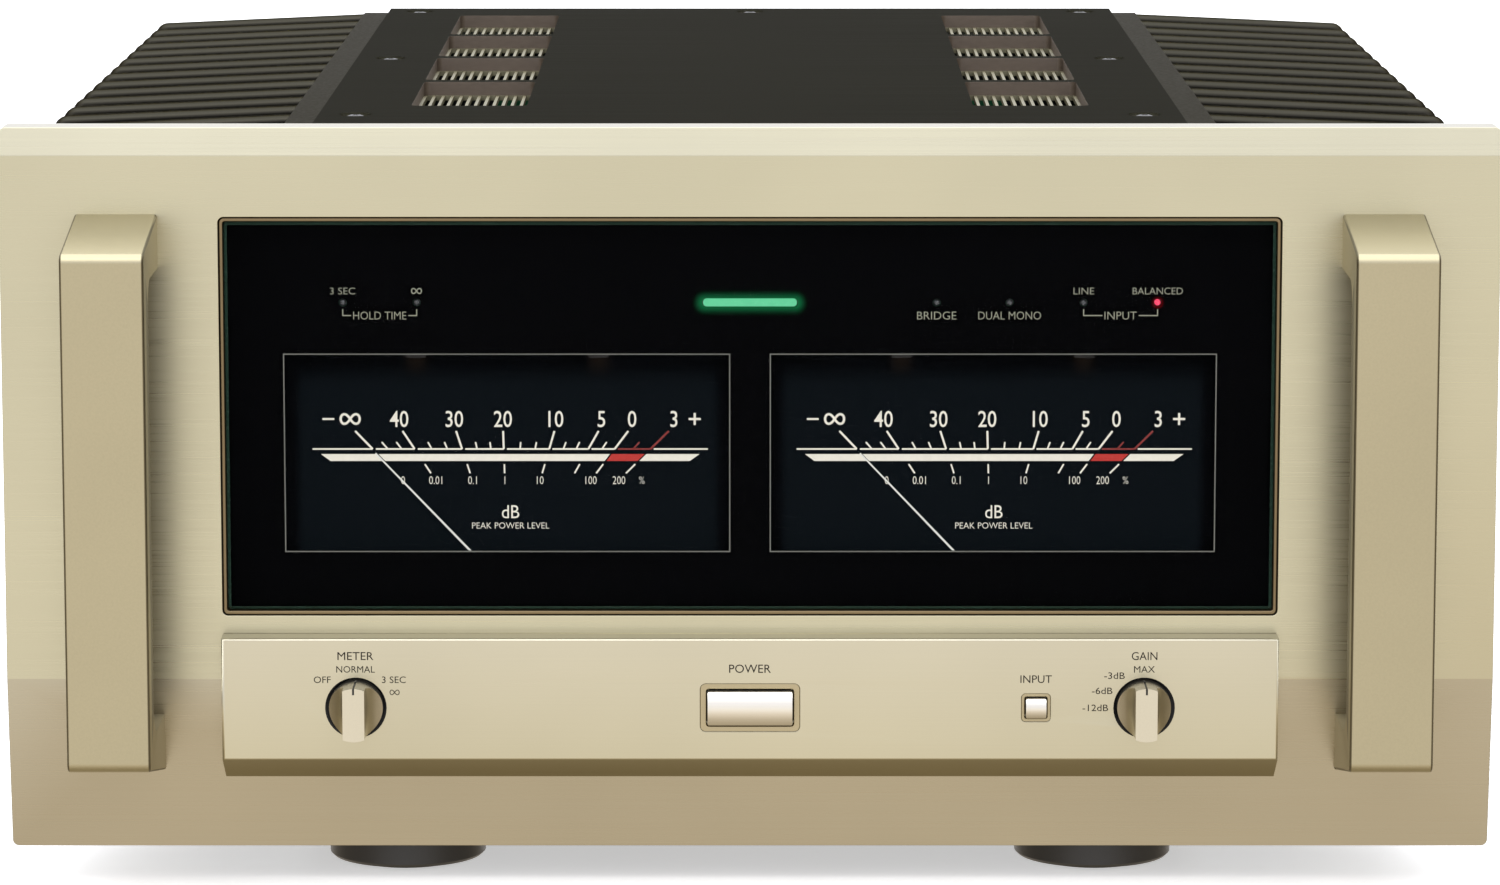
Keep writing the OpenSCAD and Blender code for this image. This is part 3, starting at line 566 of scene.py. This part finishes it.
def cap_height():
    """Height of a capital of the built-in font at size 1."""
    curve = bpy.data.curves.new("capital", "FONT")
    curve.body = "H"
    glyph = curve_mesh(curve)
    tall = max(v.co.y for v in glyph.vertices) - min(v.co.y for v in glyph.vertices)
    bpy.data.meshes.remove(glyph)
    return tall


CAP_HEIGHT = cap_height()


# ---------- front panel, control panel and handles ----------


def at_handle_front(edge):
    """True for edges that start in the front 5 mm of a handle."""
    return min(vertex.co.y for vertex in edge.verts) < handle_y + 5 * MM


def is_long(edge):
    """True for the outer edges of the control panel, which are longer than those of its pockets."""
    return edge.calc_length() > 30 * MM


def leans_down(polygon):
    """True on the lower face of the front panel, which slopes back towards the floor."""
    return polygon.normal.y < -0.9 and -0.2 < polygon.normal.z < -0.01


def in_knob_well(polygon):
    """True on the walls and floors of the two wells that the knobs sit in."""
    reach = 10.5 * MM
    return polygon.center.y > control_low.y + 0.3 * MM and any(
        (polygon.center.xz - place.xz).length < reach for place in knob_places)


def in_vent(polygon):
    """True on the small upright walls of the vent openings."""
    largest = 200 * MM * 5 * MM
    return abs(polygon.normal.z) < 0.1 and polygon.area < largest


# The lower face takes the darker copy of the panel finish: painted shade.
repaint(edged("front_panel", "chassis", "front_panel", "panel", 0.35 * MM, 2, 12), "panel_low_painted_shade",
        leans_down)
# The walls and floors of the knob wells are painted black: painted shade in the deep wells around
# the knobs.
repaint(edged("control_panel", "chassis", "control_panel", "control", 0.7 * MM, 3, 30, is_long),
        "black_plastic", in_knob_well)
edged("window_frame", "chassis", "window_frame", "frame", 0.25 * MM)
edged("left_handle", "chassis", "handle", "handle", 0.9 * MM, 4, 40, at_handle_front, False)
edged("right_handle", "chassis", "handle", "handle", 0.9 * MM, 4, 40, at_handle_front, False)
edged("power_bezel", "chassis", "bezel", "bezel", 0.25 * MM)
edged("input_bezel", "chassis", "bezel", "bezel", 0.2 * MM)
edged("power_button", "power_button", "button", "button", 0.4 * MM, 3, 40)
edged("input_button", "input_button", "button", "button", 0.3 * MM, 3, 40)
edged("meter_knob", "meter_knob", "knob", "knob", 0.18 * MM, 2, 40)
edged("gain_knob", "gain_knob", "knob", "knob", 0.18 * MM, 2, 40)
for name in ("left_heatsink", "right_heatsink"):
    edged(name, "chassis", "heatsink", "heatsink", 0.5 * MM, 2, 40)
repaint(edged("top_plate", "chassis", "top_plate", "top", 0.3 * MM, 2, 40), "vent_wall", in_vent)


# ---------- window ----------


def build_pane():
    """Glass pane with a polished chamfer around its front."""
    chamfer = 1.05 * MM
    back_y = glass_high.y - 0.2 * MM
    bounds = (glass_low.x, glass_high.x, glass_low.z, glass_high.z)
    inner = (bounds[0] + chamfer, bounds[1] - chamfer, bounds[2] + chamfer, bounds[3] - chamfer)
    mesh = bmesh.new()
    face = add_loop(mesh, round_outline(*inner, 0.3 * MM), glass_low.y)
    edge = add_loop(mesh, round_outline(*bounds, 0.7 * MM), glass_low.y + chamfer)
    back = add_loop(mesh, round_outline(*bounds, 0.7 * MM), back_y)
    mesh.faces.new(face)
    mesh.faces.new(list(reversed(back)))
    bridge(mesh, face, edge, 1)
    bridge(mesh, edge, back, 1)
    pane = add_piece("window_pane", mesh, "chassis", "glass", "glass", "glass_edge")
    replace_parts(pane, "window_glass")


def build_meter_outlines():
    """Thin grey lines around the two meter openings."""
    lines = Print(mask_low.y)
    line_t = 0.34 * MM
    for pivot in pivots:
        low_x, high_x = pivot.x - meter_w / 2 - line_t / 2, pivot.x + meter_w / 2 + line_t / 2
        low_z, high_z = meter_low_z - line_t / 2, meter_high_z + line_t / 2
        for z in (low_z, high_z):
            lines.line((low_x - line_t / 2, z), (high_x + line_t / 2, z), line_t)
        for x in (low_x, high_x):
            lines.line((x, low_z + line_t / 2), (x, high_z - line_t / 2), line_t)
    lines.piece("meter_outlines", "chassis", "mask", "outline_ink")


def build_window_labels():
    """Names of the indicator lamps, with the brackets that join two pairs of them."""
    hold_3, hold_long, _, bridge_lamp, dual_lamp, line_lamp, balanced_lamp = lamp_places
    ink = Print(mask_low.y)
    above, below, z = 3.7 * MM, 4.0 * MM, hold_3.z
    slim, line_t = -0.01, 0.3 * MM
    ink.text("3 SEC", hold_3.x, z + above, 2.1 * MM, 7.8 * MM, weight=slim)
    ink.infinity(hold_long.x, z + above, 3.1 * MM, 1.6 * MM, 0.32 * MM)
    ink.text("LINE", line_lamp.x, z + above, 2.15 * MM, 6.4 * MM, weight=slim)
    ink.text("BALANCED", balanced_lamp.x, z + above, 2.15 * MM, 15.6 * MM, weight=slim)
    ink.text("BRIDGE", bridge_lamp.x, z - below, 2.5 * MM, 12.2 * MM, weight=slim)
    ink.text("DUAL MONO", dual_lamp.x, z - below, 2.5 * MM, 19.5 * MM, weight=slim)
    for name, width, first, last in (("HOLD TIME", 16.5 * MM, hold_3, hold_long),
                                     ("INPUT", 10 * MM, line_lamp, balanced_lamp)):
        centre = (first.x + last.x) / 2
        ink.text(name, centre, z - below, 2.5 * MM, width, weight=slim)
        for lamp, side in ((first, -1), (last, 1)):
            ink.line((lamp.x, z - 2.0 * MM), (lamp.x, z - below - line_t / 2), line_t)
            start = sorted((lamp.x, centre + side * (width / 2 + 0.8 * MM)))
            ink.line((start[0] - line_t / 2, z - below), (start[1] + line_t / 2, z - below),
                     line_t)
    ink.piece("window_labels", "chassis", "mask", "window_ink")


def build_lamps():
    """Domed lamp lenses behind the window, and the lit bar in its middle."""
    lens_r = 0.95 * MM
    lamps = []
    for number, place in enumerate(lamp_places):
        mesh = bmesh.new()
        front_y = mask_low.y + 0.1 * MM
        if abs(place.x) < lens_r:
            half_w, half_h = 14.6 * MM, 1.15 * MM
            outline = round_outline(place.x - half_w, place.x + half_w, place.z - half_h,
                                    place.z + half_h, 1.1 * MM)
            prism(mesh, outline, front_y, mask_high.y + 0.8 * MM)
            finish = "lamp_green"
        else:
            sweep = [(lens_r * math.sin(a), front_y + 0.8 * MM * (1 - math.cos(a)))
                     for a in (math.radians(90 * k / 6) for k in range(1, 7))]
            sweep.append((lens_r, mask_high.y + 0.8 * MM))
            loops = [add_loop(mesh, [(place.x + r * math.cos(math.tau * k / 24),
                                      place.z + r * math.sin(math.tau * k / 24))
                                     for k in range(24)], y) for r, y in sweep]
            mesh.faces.new(loops[0])
            mesh.faces.new(list(reversed(loops[-1])))
            for front, back in zip(loops, loops[1:]):
                bridge(mesh, front, back)
            finish = "lamp_red" if place is lamp_places[-1] else "lamp_off"
        lamp = add_piece(f"indicator_lens_{number + 1}", mesh, "chassis", "indicator", finish)
        for polygon in lamp.data.polygons:
            polygon.use_smooth = len(polygon.vertices) == 4 and finish != "lamp_green"
        lamps.append(lamp)
    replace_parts(lamps[0], "indicator_lamps")


build_pane()
build_meter_outlines()
build_window_labels()
build_lamps()


# ---------- meter dials ----------

# Readings along the scale: upper number, lower number, needle angle from upright in degrees
READINGS = (
    ("∞", "0", -43.6), ("40", "0.01", -33.3), ("30", "0.1", -17.9), ("20", "1", -1.7),
    ("10", "10", 16.2), ("5", "", 29.5), ("0", "100", 36.9), ("3", "200", 45.1),
)
# Heights above the pivot: upper numbers, tips of the long and the short marks, thin scale line,
# thick bar, marks below the bar, lower numbers
UPPER_Z = 54 * MM
LONG_Z = 50.2 * MM
SHORT_Z = 46.7 * MM
SCALE_Z = 44.5 * MM
BAR_Z = (40.7 * MM, 42.9 * MM)
BELOW_Z = (36.8 * MM, 39.7 * MM)
LOWER_Z = 34.6 * MM
# Ends of the scale line and of the bar, from the pivot
SCALE_X = (-61.2 * MM, 62.6 * MM)
BAR_X = (-58.6 * MM, 60.0 * MM)
GAP = 1.0 * MM
THIN = 0.5 * MM


def on_ray(angle, height):
    """Place in X and Z, from the pivot, where the needle at that angle passes a height."""
    return height * math.tan(math.radians(angle)), height


def build_dial(number, pivot):
    """White, red and dark red print of one meter's scale."""
    side = ("left", "right")[number]
    white, red, red_line = (Print(dial_y - PRINT_T / 2) for _ in range(3))

    def ray(ink, angle, low, high, thickness=THIN):
        """Mark between two heights on the needle's line at that angle."""
        start, end = on_ray(angle, low), on_ray(angle, high)
        ink.line((pivot.x + start[0], pivot.z + start[1]), (pivot.x + end[0], pivot.z + end[1]),
                 thickness)

    angles = [angle for _, _, angle in READINGS]
    starts = [SCALE_X[0]] + [on_ray(angle, SCALE_Z)[0] + GAP for angle in angles]
    ends = [on_ray(angle, SCALE_Z)[0] for angle in angles] + [SCALE_X[1]]
    for start, end in zip(starts, ends):
        ink = red_line if end == ends[-2] else white
        ink.line((pivot.x + start, pivot.z + SCALE_Z), (pivot.x + end, pivot.z + SCALE_Z), THIN)

    for angle in angles:
        ray(red_line if angle == angles[-1] else white, angle, SCALE_Z, LONG_Z, 0.62 * MM)
    for low, high in zip(angles, angles[1:]):
        # One short mark in the narrow steps, two in the wide ones
        shares = (0.52,) if high > 30 else (0.36, 0.69)
        for share in shares:
            x = on_ray(low, SCALE_Z)[0] * (1 - share) + on_ray(high, SCALE_Z)[0] * share
            angle = math.degrees(math.atan2(x, SCALE_Z))
            ray(red_line if high == angles[-1] else white, angle, SCALE_Z, SHORT_Z)
    for angle in angles[1:]:
        ray(white, angle, *BELOW_Z)

    def bar(ink, left, right, left_gap, right_gap):
        """Part of the thick bar between two rays."""
        points = [(on_ray(left, BAR_Z[0])[0] + left_gap, BAR_Z[0]),
                  (on_ray(right, BAR_Z[0])[0] - right_gap, BAR_Z[0]),
                  (on_ray(right, BAR_Z[1])[0] - right_gap, BAR_Z[1]),
                  (on_ray(left, BAR_Z[1])[0] + left_gap, BAR_Z[1])]
        ink.shape([(pivot.x + x, pivot.z + z) for x, z in points])

    first = math.degrees(math.atan2(BAR_X[0], BAR_Z[1]))
    last = math.degrees(math.atan2(BAR_X[1], BAR_Z[1]))
    rest, zero, full = angles[0], angles[-2], angles[-1]
    slit = 0.28 * MM
    bar(white, first, rest, 0, slit)
    bar(white, rest, zero, slit, slit)
    bar(red, zero, full, slit, slit)
    bar(white, full, last, slit, 0)

    over_mark_z = 51.8 * MM      # an upper number stands over its mark, drawn on to this height
    for upper, lower, angle in READINGS:
        x, _ = on_ray(angle, over_mark_z)
        if upper == "∞":
            white.infinity(pivot.x + x, pivot.z + UPPER_Z, 6.0 * MM, 3.1 * MM, 0.75 * MM)
        else:
            white.text(upper, pivot.x + x, pivot.z + UPPER_Z, 5.0 * MM, squeeze=0.82, weight=0.004)
        if lower:
            white.text(lower, pivot.x + on_ray(angle, LOWER_Z)[0], pivot.z + LOWER_Z, 2.5 * MM,
                       squeeze=0.76, weight=-0.008)
    white.line((pivot.x - 58 * MM, pivot.z + UPPER_Z), (pivot.x - 54.3 * MM, pivot.z + UPPER_Z),
               0.6 * MM)
    plus = Vector((pivot.x + 58.5 * MM, pivot.z + UPPER_Z))
    white.line((plus.x - 1.9 * MM, plus.y), (plus.x + 1.9 * MM, plus.y), 0.7 * MM)
    white.line((plus.x, plus.y - 1.9 * MM), (plus.x, plus.y + 1.9 * MM), 0.7 * MM)
    white.text("%", pivot.x + 41.9 * MM, pivot.z + LOWER_Z, 2.3 * MM, squeeze=0.85, weight=-0.01)
    white.text("dB", pivot.x + 0.7 * MM, pivot.z + 24.6 * MM, 4.1 * MM, squeeze=0.9)
    white.text("PEAK POWER LEVEL", pivot.x + 0.7 * MM, pivot.z + 20.2 * MM, 1.95 * MM, 24.2 * MM,
               weight=-0.008)
    white.piece(f"{side}_dial_scale", "chassis", "dial", "dial_ink")
    red.piece(f"{side}_dial_red_zone", "chassis", "dial", "dial_red")
    red_line.piece(f"{side}_dial_red_scale", "chassis", "dial", "dial_red_line")


for number, pivot in enumerate(pivots):
    build_dial(number, pivot)


# ---------- control panel labels and knob pointers ----------


def build_control_labels():
    """Names of the controls and of their positions."""
    ink = Print(control_low.y)
    meter, gain = knob_places
    power = middle(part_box("power_button"))
    source = middle(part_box("input_button"))
    ink.text("METER", meter.x, meter.z + 16.4 * MM, 2.5 * MM, 11.2 * MM)
    ink.text("NORMAL", meter.x, meter.z + 12.2 * MM, 2.05 * MM, 12.0 * MM)
    ink.text("OFF", meter.x - 10.4 * MM, meter.z + 8.9 * MM, 2.05 * MM, 5.3 * MM)
    ink.text("3 SEC", meter.x + 11.9 * MM, meter.z + 8.9 * MM, 2.05 * MM, 7.4 * MM)
    ink.infinity(meter.x + 12.1 * MM, meter.z + 4.9 * MM, 2.9 * MM, 1.5 * MM, 0.26 * MM)
    ink.text("GAIN", gain.x, gain.z + 16.4 * MM, 2.5 * MM, 8.0 * MM)
    ink.text("MAX", gain.x, gain.z + 12.2 * MM, 2.05 * MM, 6.5 * MM)
    ink.text("-3dB", gain.x - 9.3 * MM, gain.z + 10.2 * MM, 2.05 * MM, 6.4 * MM)
    ink.text("-6dB", gain.x - 13.1 * MM, gain.z + 5.4 * MM, 2.05 * MM, 6.4 * MM)
    ink.text("-12dB", gain.x - 15.2 * MM, gain.z, 2.05 * MM, 8.0 * MM)
    ink.text("POWER", power.x, power.z + 12.4 * MM, 2.6 * MM, 13.0 * MM)
    ink.text("INPUT", source.x, source.z + 9.1 * MM, 2.4 * MM, 9.8 * MM)
    ink.piece("control_labels", "chassis", "control_panel", "panel_ink")


def build_pointer(name, place):
    """Black line let into a knob's top and down over its front."""
    low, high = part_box(name)
    mesh = bmesh.new()
    start, end = low.y + 0.08 * MM, control_low.y + 0.6 * MM
    # Along the top and down the front; heights in millimetres from the knob's top
    for from_y, to_y, from_z, to_z in ((start, end, -0.5, -0.05),
                                       (start, start + 0.4 * MM, -1.85, -0.3)):
        centre = (place.x, (from_y + to_y) / 2, high.z + (from_z + to_z) / 2 * MM)
        size = (0.58 * MM, to_y - from_y, (to_z - from_z) * MM, 1.0)
        bmesh.ops.create_cube(mesh, size=1.0,
                              matrix=Matrix.Translation(centre) @ Matrix.Diagonal(size))
    add_piece(name + "_pointer", mesh, name, "knob", "pointer_ink")


build_control_labels()
for name, place in zip(("meter_knob", "gain_knob"), knob_places):
    build_pointer(name, place)


# ---------- rear panel ----------


def ring(mesh, x, y, z, outer, inner, depth, steps=48):
    """Flat ring around an axis along Y, from y to y + depth."""
    def circle(radius, at):
        return add_loop(mesh, [(x + radius * math.cos(math.tau * k / steps),
                                z + radius * math.sin(math.tau * k / steps))
                               for k in range(steps)], at)
    loops = [circle(inner, y), circle(outer, y), circle(outer, y + depth), circle(inner, y + depth)]
    for first, second in zip(loops, loops[1:] + loops[:1]):
        bridge(mesh, first, second)


def build_socket_insert(name, x, face_y, z):
    """Black insert on a balanced socket, open at its three pins. Its curve is drawn in
    millimetres."""
    curve = bpy.data.curves.new(name, "CURVE")
    curve.dimensions = "2D"
    curve.fill_mode = "BOTH"
    curve.extrude = 0.15
    pins = [(5.5 * math.cos(a), 5.5 * math.sin(a), 1.3)
            for a in (math.radians(angle) for angle in (90, 210, 330))]
    for centre_x, centre_z, radius in [(0, 0, 9.6)] + pins:
        circle = curve.splines.new("POLY")
        circle.points.add(31)
        circle.use_cyclic_u = True
        for k, point in enumerate(circle.points):
            turn = math.tau * k / 32
            point.co = (centre_x + radius * math.cos(turn), centre_z + radius * math.sin(turn),
                        0, 1)
    flat = curve_mesh(curve)
    flat.transform(Matrix.Translation((x, face_y, z)) @ Matrix.Rotation(math.radians(90), 4, "X")
                   @ Matrix.Scale(MM, 4))
    mesh = bmesh.new()
    mesh.from_mesh(flat)
    bpy.data.meshes.remove(flat)
    add_piece(name, mesh, "chassis", "socket_black", "black_plastic")


def build_rear():
    """Colour rings of the terminals and sockets, the socket inserts and the rear lettering."""
    ink = Print(rear_y, rear=True)
    for name in ("cap_left_plus", "cap_left_minus", "cap_right_plus", "cap_right_minus"):
        low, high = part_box(name)
        centre = (low + high) / 2
        positive = name.endswith("plus")
        mesh = bmesh.new()
        ring(mesh, centre.x, low.y - 0.6 * MM, centre.z, 8.6 * MM, 4.3 * MM, 0.55 * MM)
        ring(mesh, centre.x, high.y - 0.3 * MM, centre.z, 7.0 * MM, 5.0 * MM, 0.38 * MM)
        add_piece(name + "_ring", mesh, name, "terminal_cap",
                  "red_plastic" if positive else "black_plastic")
        ink.text("+" if positive else "-", centre.x, centre.z + 16 * MM, 3.6 * MM, weight=0.01)
    for low, high in solid_boxes("line_sockets"):
        centre = (low + high) / 2
        mesh = bmesh.new()
        ring(mesh, centre.x, high.y - 5.4 * MM, centre.z, 6.3 * MM, 4.3 * MM, 1.2 * MM)
        left = centre.x > 0
        add_piece("line_socket_ring_" + ("left" if left else "right"), mesh, "chassis",
                  "gold_socket", "white_plastic" if left else "red_plastic")
        ink.text("L" if left else "R", centre.x, centre.z + 13 * MM, 3.2 * MM)
    balanced = []
    for low, high in solid_boxes("balanced_sockets"):
        place = (low + high) / 2
        balanced.append(place)
        build_socket_insert("balanced_insert_" + ("left" if place.x > 0 else "right"), place.x,
                            high.y + 0.1 * MM, place.z)
        ink.text("L" if place.x > 0 else "R", place.x, place.z + 20.5 * MM, 3.2 * MM)
        ink.text("BALANCED", place.x, place.z - 21 * MM, 3.0 * MM, 19 * MM)
    ink.text("LINE", 0, balanced[0].z - 14 * MM, 3.0 * MM, 8.6 * MM)
    inlet = middle(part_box("mains_inlet"))
    ink.text("AC", 0, inlet.z + 20 * MM, 3.2 * MM)
    terminals = [middle(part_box(name)) for name in ("cap_left_plus", "cap_right_minus")]
    ink.text("LEFT SPEAKER", terminals[0].x - 17.5 * MM, terminals[0].z - 18 * MM, 3.0 * MM,
             28 * MM)
    ink.text("RIGHT SPEAKER", terminals[1].x - 17.5 * MM, terminals[1].z - 18 * MM, 3.0 * MM,
             30 * MM)
    switch = middle(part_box("mode_switch"))
    ink.text("NORMAL", switch.x + 12 * MM, switch.z + 10.5 * MM, 2.2 * MM, 11 * MM)
    ink.text("BRIDGE", switch.x - 12 * MM, switch.z + 10.5 * MM, 2.2 * MM, 11 * MM)
    ink.text("MODE", switch.x, switch.z - 11 * MM, 2.6 * MM, 9.5 * MM)
    ink.piece("rear_labels", "chassis", "rear_panel", "rear_ink")


build_rear()


# ---------- CAD nodes that keep their shape ----------

FINISHES = {
    "mask": ("window_mask",),
    "dial": ("meter_dials",),
    "case_plastic": ("meter_cases",),
    "needle": ("left_needle", "right_needle"),
    "black_steel": ("handle_bolts", "top_screws", "meter_movements", "transformer_clamp"),
    "lamp_amber": ("dial_lamps",),
    "board": ("indicator_board", "amp_boards", "input_board"),
    "zinc": ("control_bracket", "bulkhead", "top_frame", "capacitor_bracket"),
    "steel": ("rear_screws", "meter_knob_shaft", "gain_knob_shaft", "board_spacers"),
    "grille": ("vent_grilles",),
    "rear": ("rear_panel",),
    "base": ("bottom_plate",),
    "black_plastic": ("rotary_switches", "push_switches", "output_transistors", "rectifiers",
                      "mains_inlet", "speaker_bases", "mode_switch"),
    "winding": ("transformer",),
    "can": ("filter_capacitors",),
    "wire": ("wiring_loom",),
    "gold": ("line_sockets", "speaker_posts", "cap_left_plus", "cap_left_minus",
             "cap_right_plus", "cap_right_minus"),
    "black_chrome": ("balanced_sockets",),
    "white_plastic": ("mode_slider",),
    "foot": ("feet",),
    "rubber": ("foot_pads",),
}
for finish, names in FINISHES.items():
    for name in names:
        slots = nodes[name].data.materials
        for index in range(len(slots)):
            slots[index] = materials[finish]


# ---------- floor, light and camera ----------


def build_floor():
    """White paper that shines a little by itself and doesn't show in the brushed metal."""
    mesh = bmesh.new()
    bmesh.ops.create_circle(mesh, cap_ends=True, segments=96, radius=9)
    data = bpy.data.meshes.new("studio_floor")
    mesh.to_mesh(data)
    mesh.free()
    data.materials.append(surface("floor_paper", (0.8, 0.8, 0.795, 1.0), 0.7, 0.0, (90, 90, 90),
                                  0.01, 0.04, Emission_Color=(1.0, 1.0, 1.0, 1.0),
                                  Emission_Strength=0.5))
    floor = bpy.data.objects.new("studio_floor", data)
    floor.visible_glossy = False
    bpy.context.scene.collection.objects.link(floor)


def add_light(name, place, target, width, height, power):
    """Rectangular area light that faces a target."""
    data = bpy.data.lights.new(name, "AREA")
    data.shape = "RECTANGLE"
    data.size, data.size_y = width, height
    data.energy = power
    light = bpy.data.objects.new(name, data)
    light.location = place
    light.rotation_euler = (Vector(target) - Vector(place)).to_track_quat("-Z", "Y").to_euler()
    bpy.context.scene.collection.objects.link(light)


def build_light():
    """Studio that is brightest overhead, darker and warmer towards the floor and to the sides, and
    one weak key light."""
    world = bpy.data.worlds.new("studio")
    world.use_nodes = True
    tree = world.node_tree
    x, _, z = parts_of(tree, tree.nodes.new("ShaderNodeTexCoord").outputs["Generated"])
    ramp = tree.nodes.new("ShaderNodeValToRGB")
    tree.links.new(fade(tree, z, -1, 1, 0, 1), ramp.inputs["Fac"])
    # Colours at heights from straight down (-1) to straight up (1)
    steps = (
        (-1.0, (0.12, 0.10, 0.068)), (-0.5, (0.25, 0.222, 0.185)), (-0.26, (0.31, 0.285, 0.262)),
        (-0.2, (0.36, 0.355, 0.345)), (-0.08, (0.335, 0.33, 0.325)), (0.1, (0.30, 0.305, 0.345)),
        (0.3, (0.30, 0.305, 0.35)), (0.55, (0.37, 0.38, 0.43)), (0.75, (0.68, 0.70, 0.74)),
        (1.0, (0.68, 0.70, 0.74)),
    )
    while len(ramp.color_ramp.elements) < len(steps):
        ramp.color_ramp.elements.new(0.5)
    for element, (height, color) in zip(ramp.color_ramp.elements, steps):
        element.position = (height + 1) / 2
        element.color = color + (1.0,)
    sideways = maths(tree, "ABSOLUTE", x)
    background = tree.nodes["Background"]
    warmth = tree.nodes.new("ShaderNodeCombineXYZ")
    warmth.inputs["X"].default_value = 1.0
    tree.links.new(fade(tree, sideways, 0.3, 0.9, 1.0, 0.88, smooth=True), warmth.inputs["Y"])
    tree.links.new(fade(tree, sideways, 0.3, 0.9, 1.0, 0.7, smooth=True), warmth.inputs["Z"])
    tree.links.new(combined(tree, "MULTIPLY", ramp.outputs["Color"], warmth.outputs[0]),
                   background.inputs["Color"])
    tree.links.new(fade(tree, sideways, 0.35, 0.95, 4.0, 1.5, smooth=True),
                   background.inputs["Strength"])
    bpy.context.scene.world = world
    add_light("key", (-0.6, -1.9, 2.3), (0, 0, 0.12), 1.8, 1.0, 9)


def build_camera():
    """View from 2.1 m in front, a little above the lid, along a long lens."""
    data = bpy.data.cameras.new("camera")
    data.sensor_width = 36
    data.lens = 149.2
    camera = bpy.data.objects.new("camera", data)
    camera.location = (0, -2.1232, 0.4361)
    camera.rotation_euler = (math.radians(90 - 8.75), 0, 0)
    bpy.context.scene.collection.objects.link(camera)
    bpy.context.scene.camera = camera


build_floor()
build_light()
build_camera()
bpy.context.scene.view_settings.view_transform = "Standard"
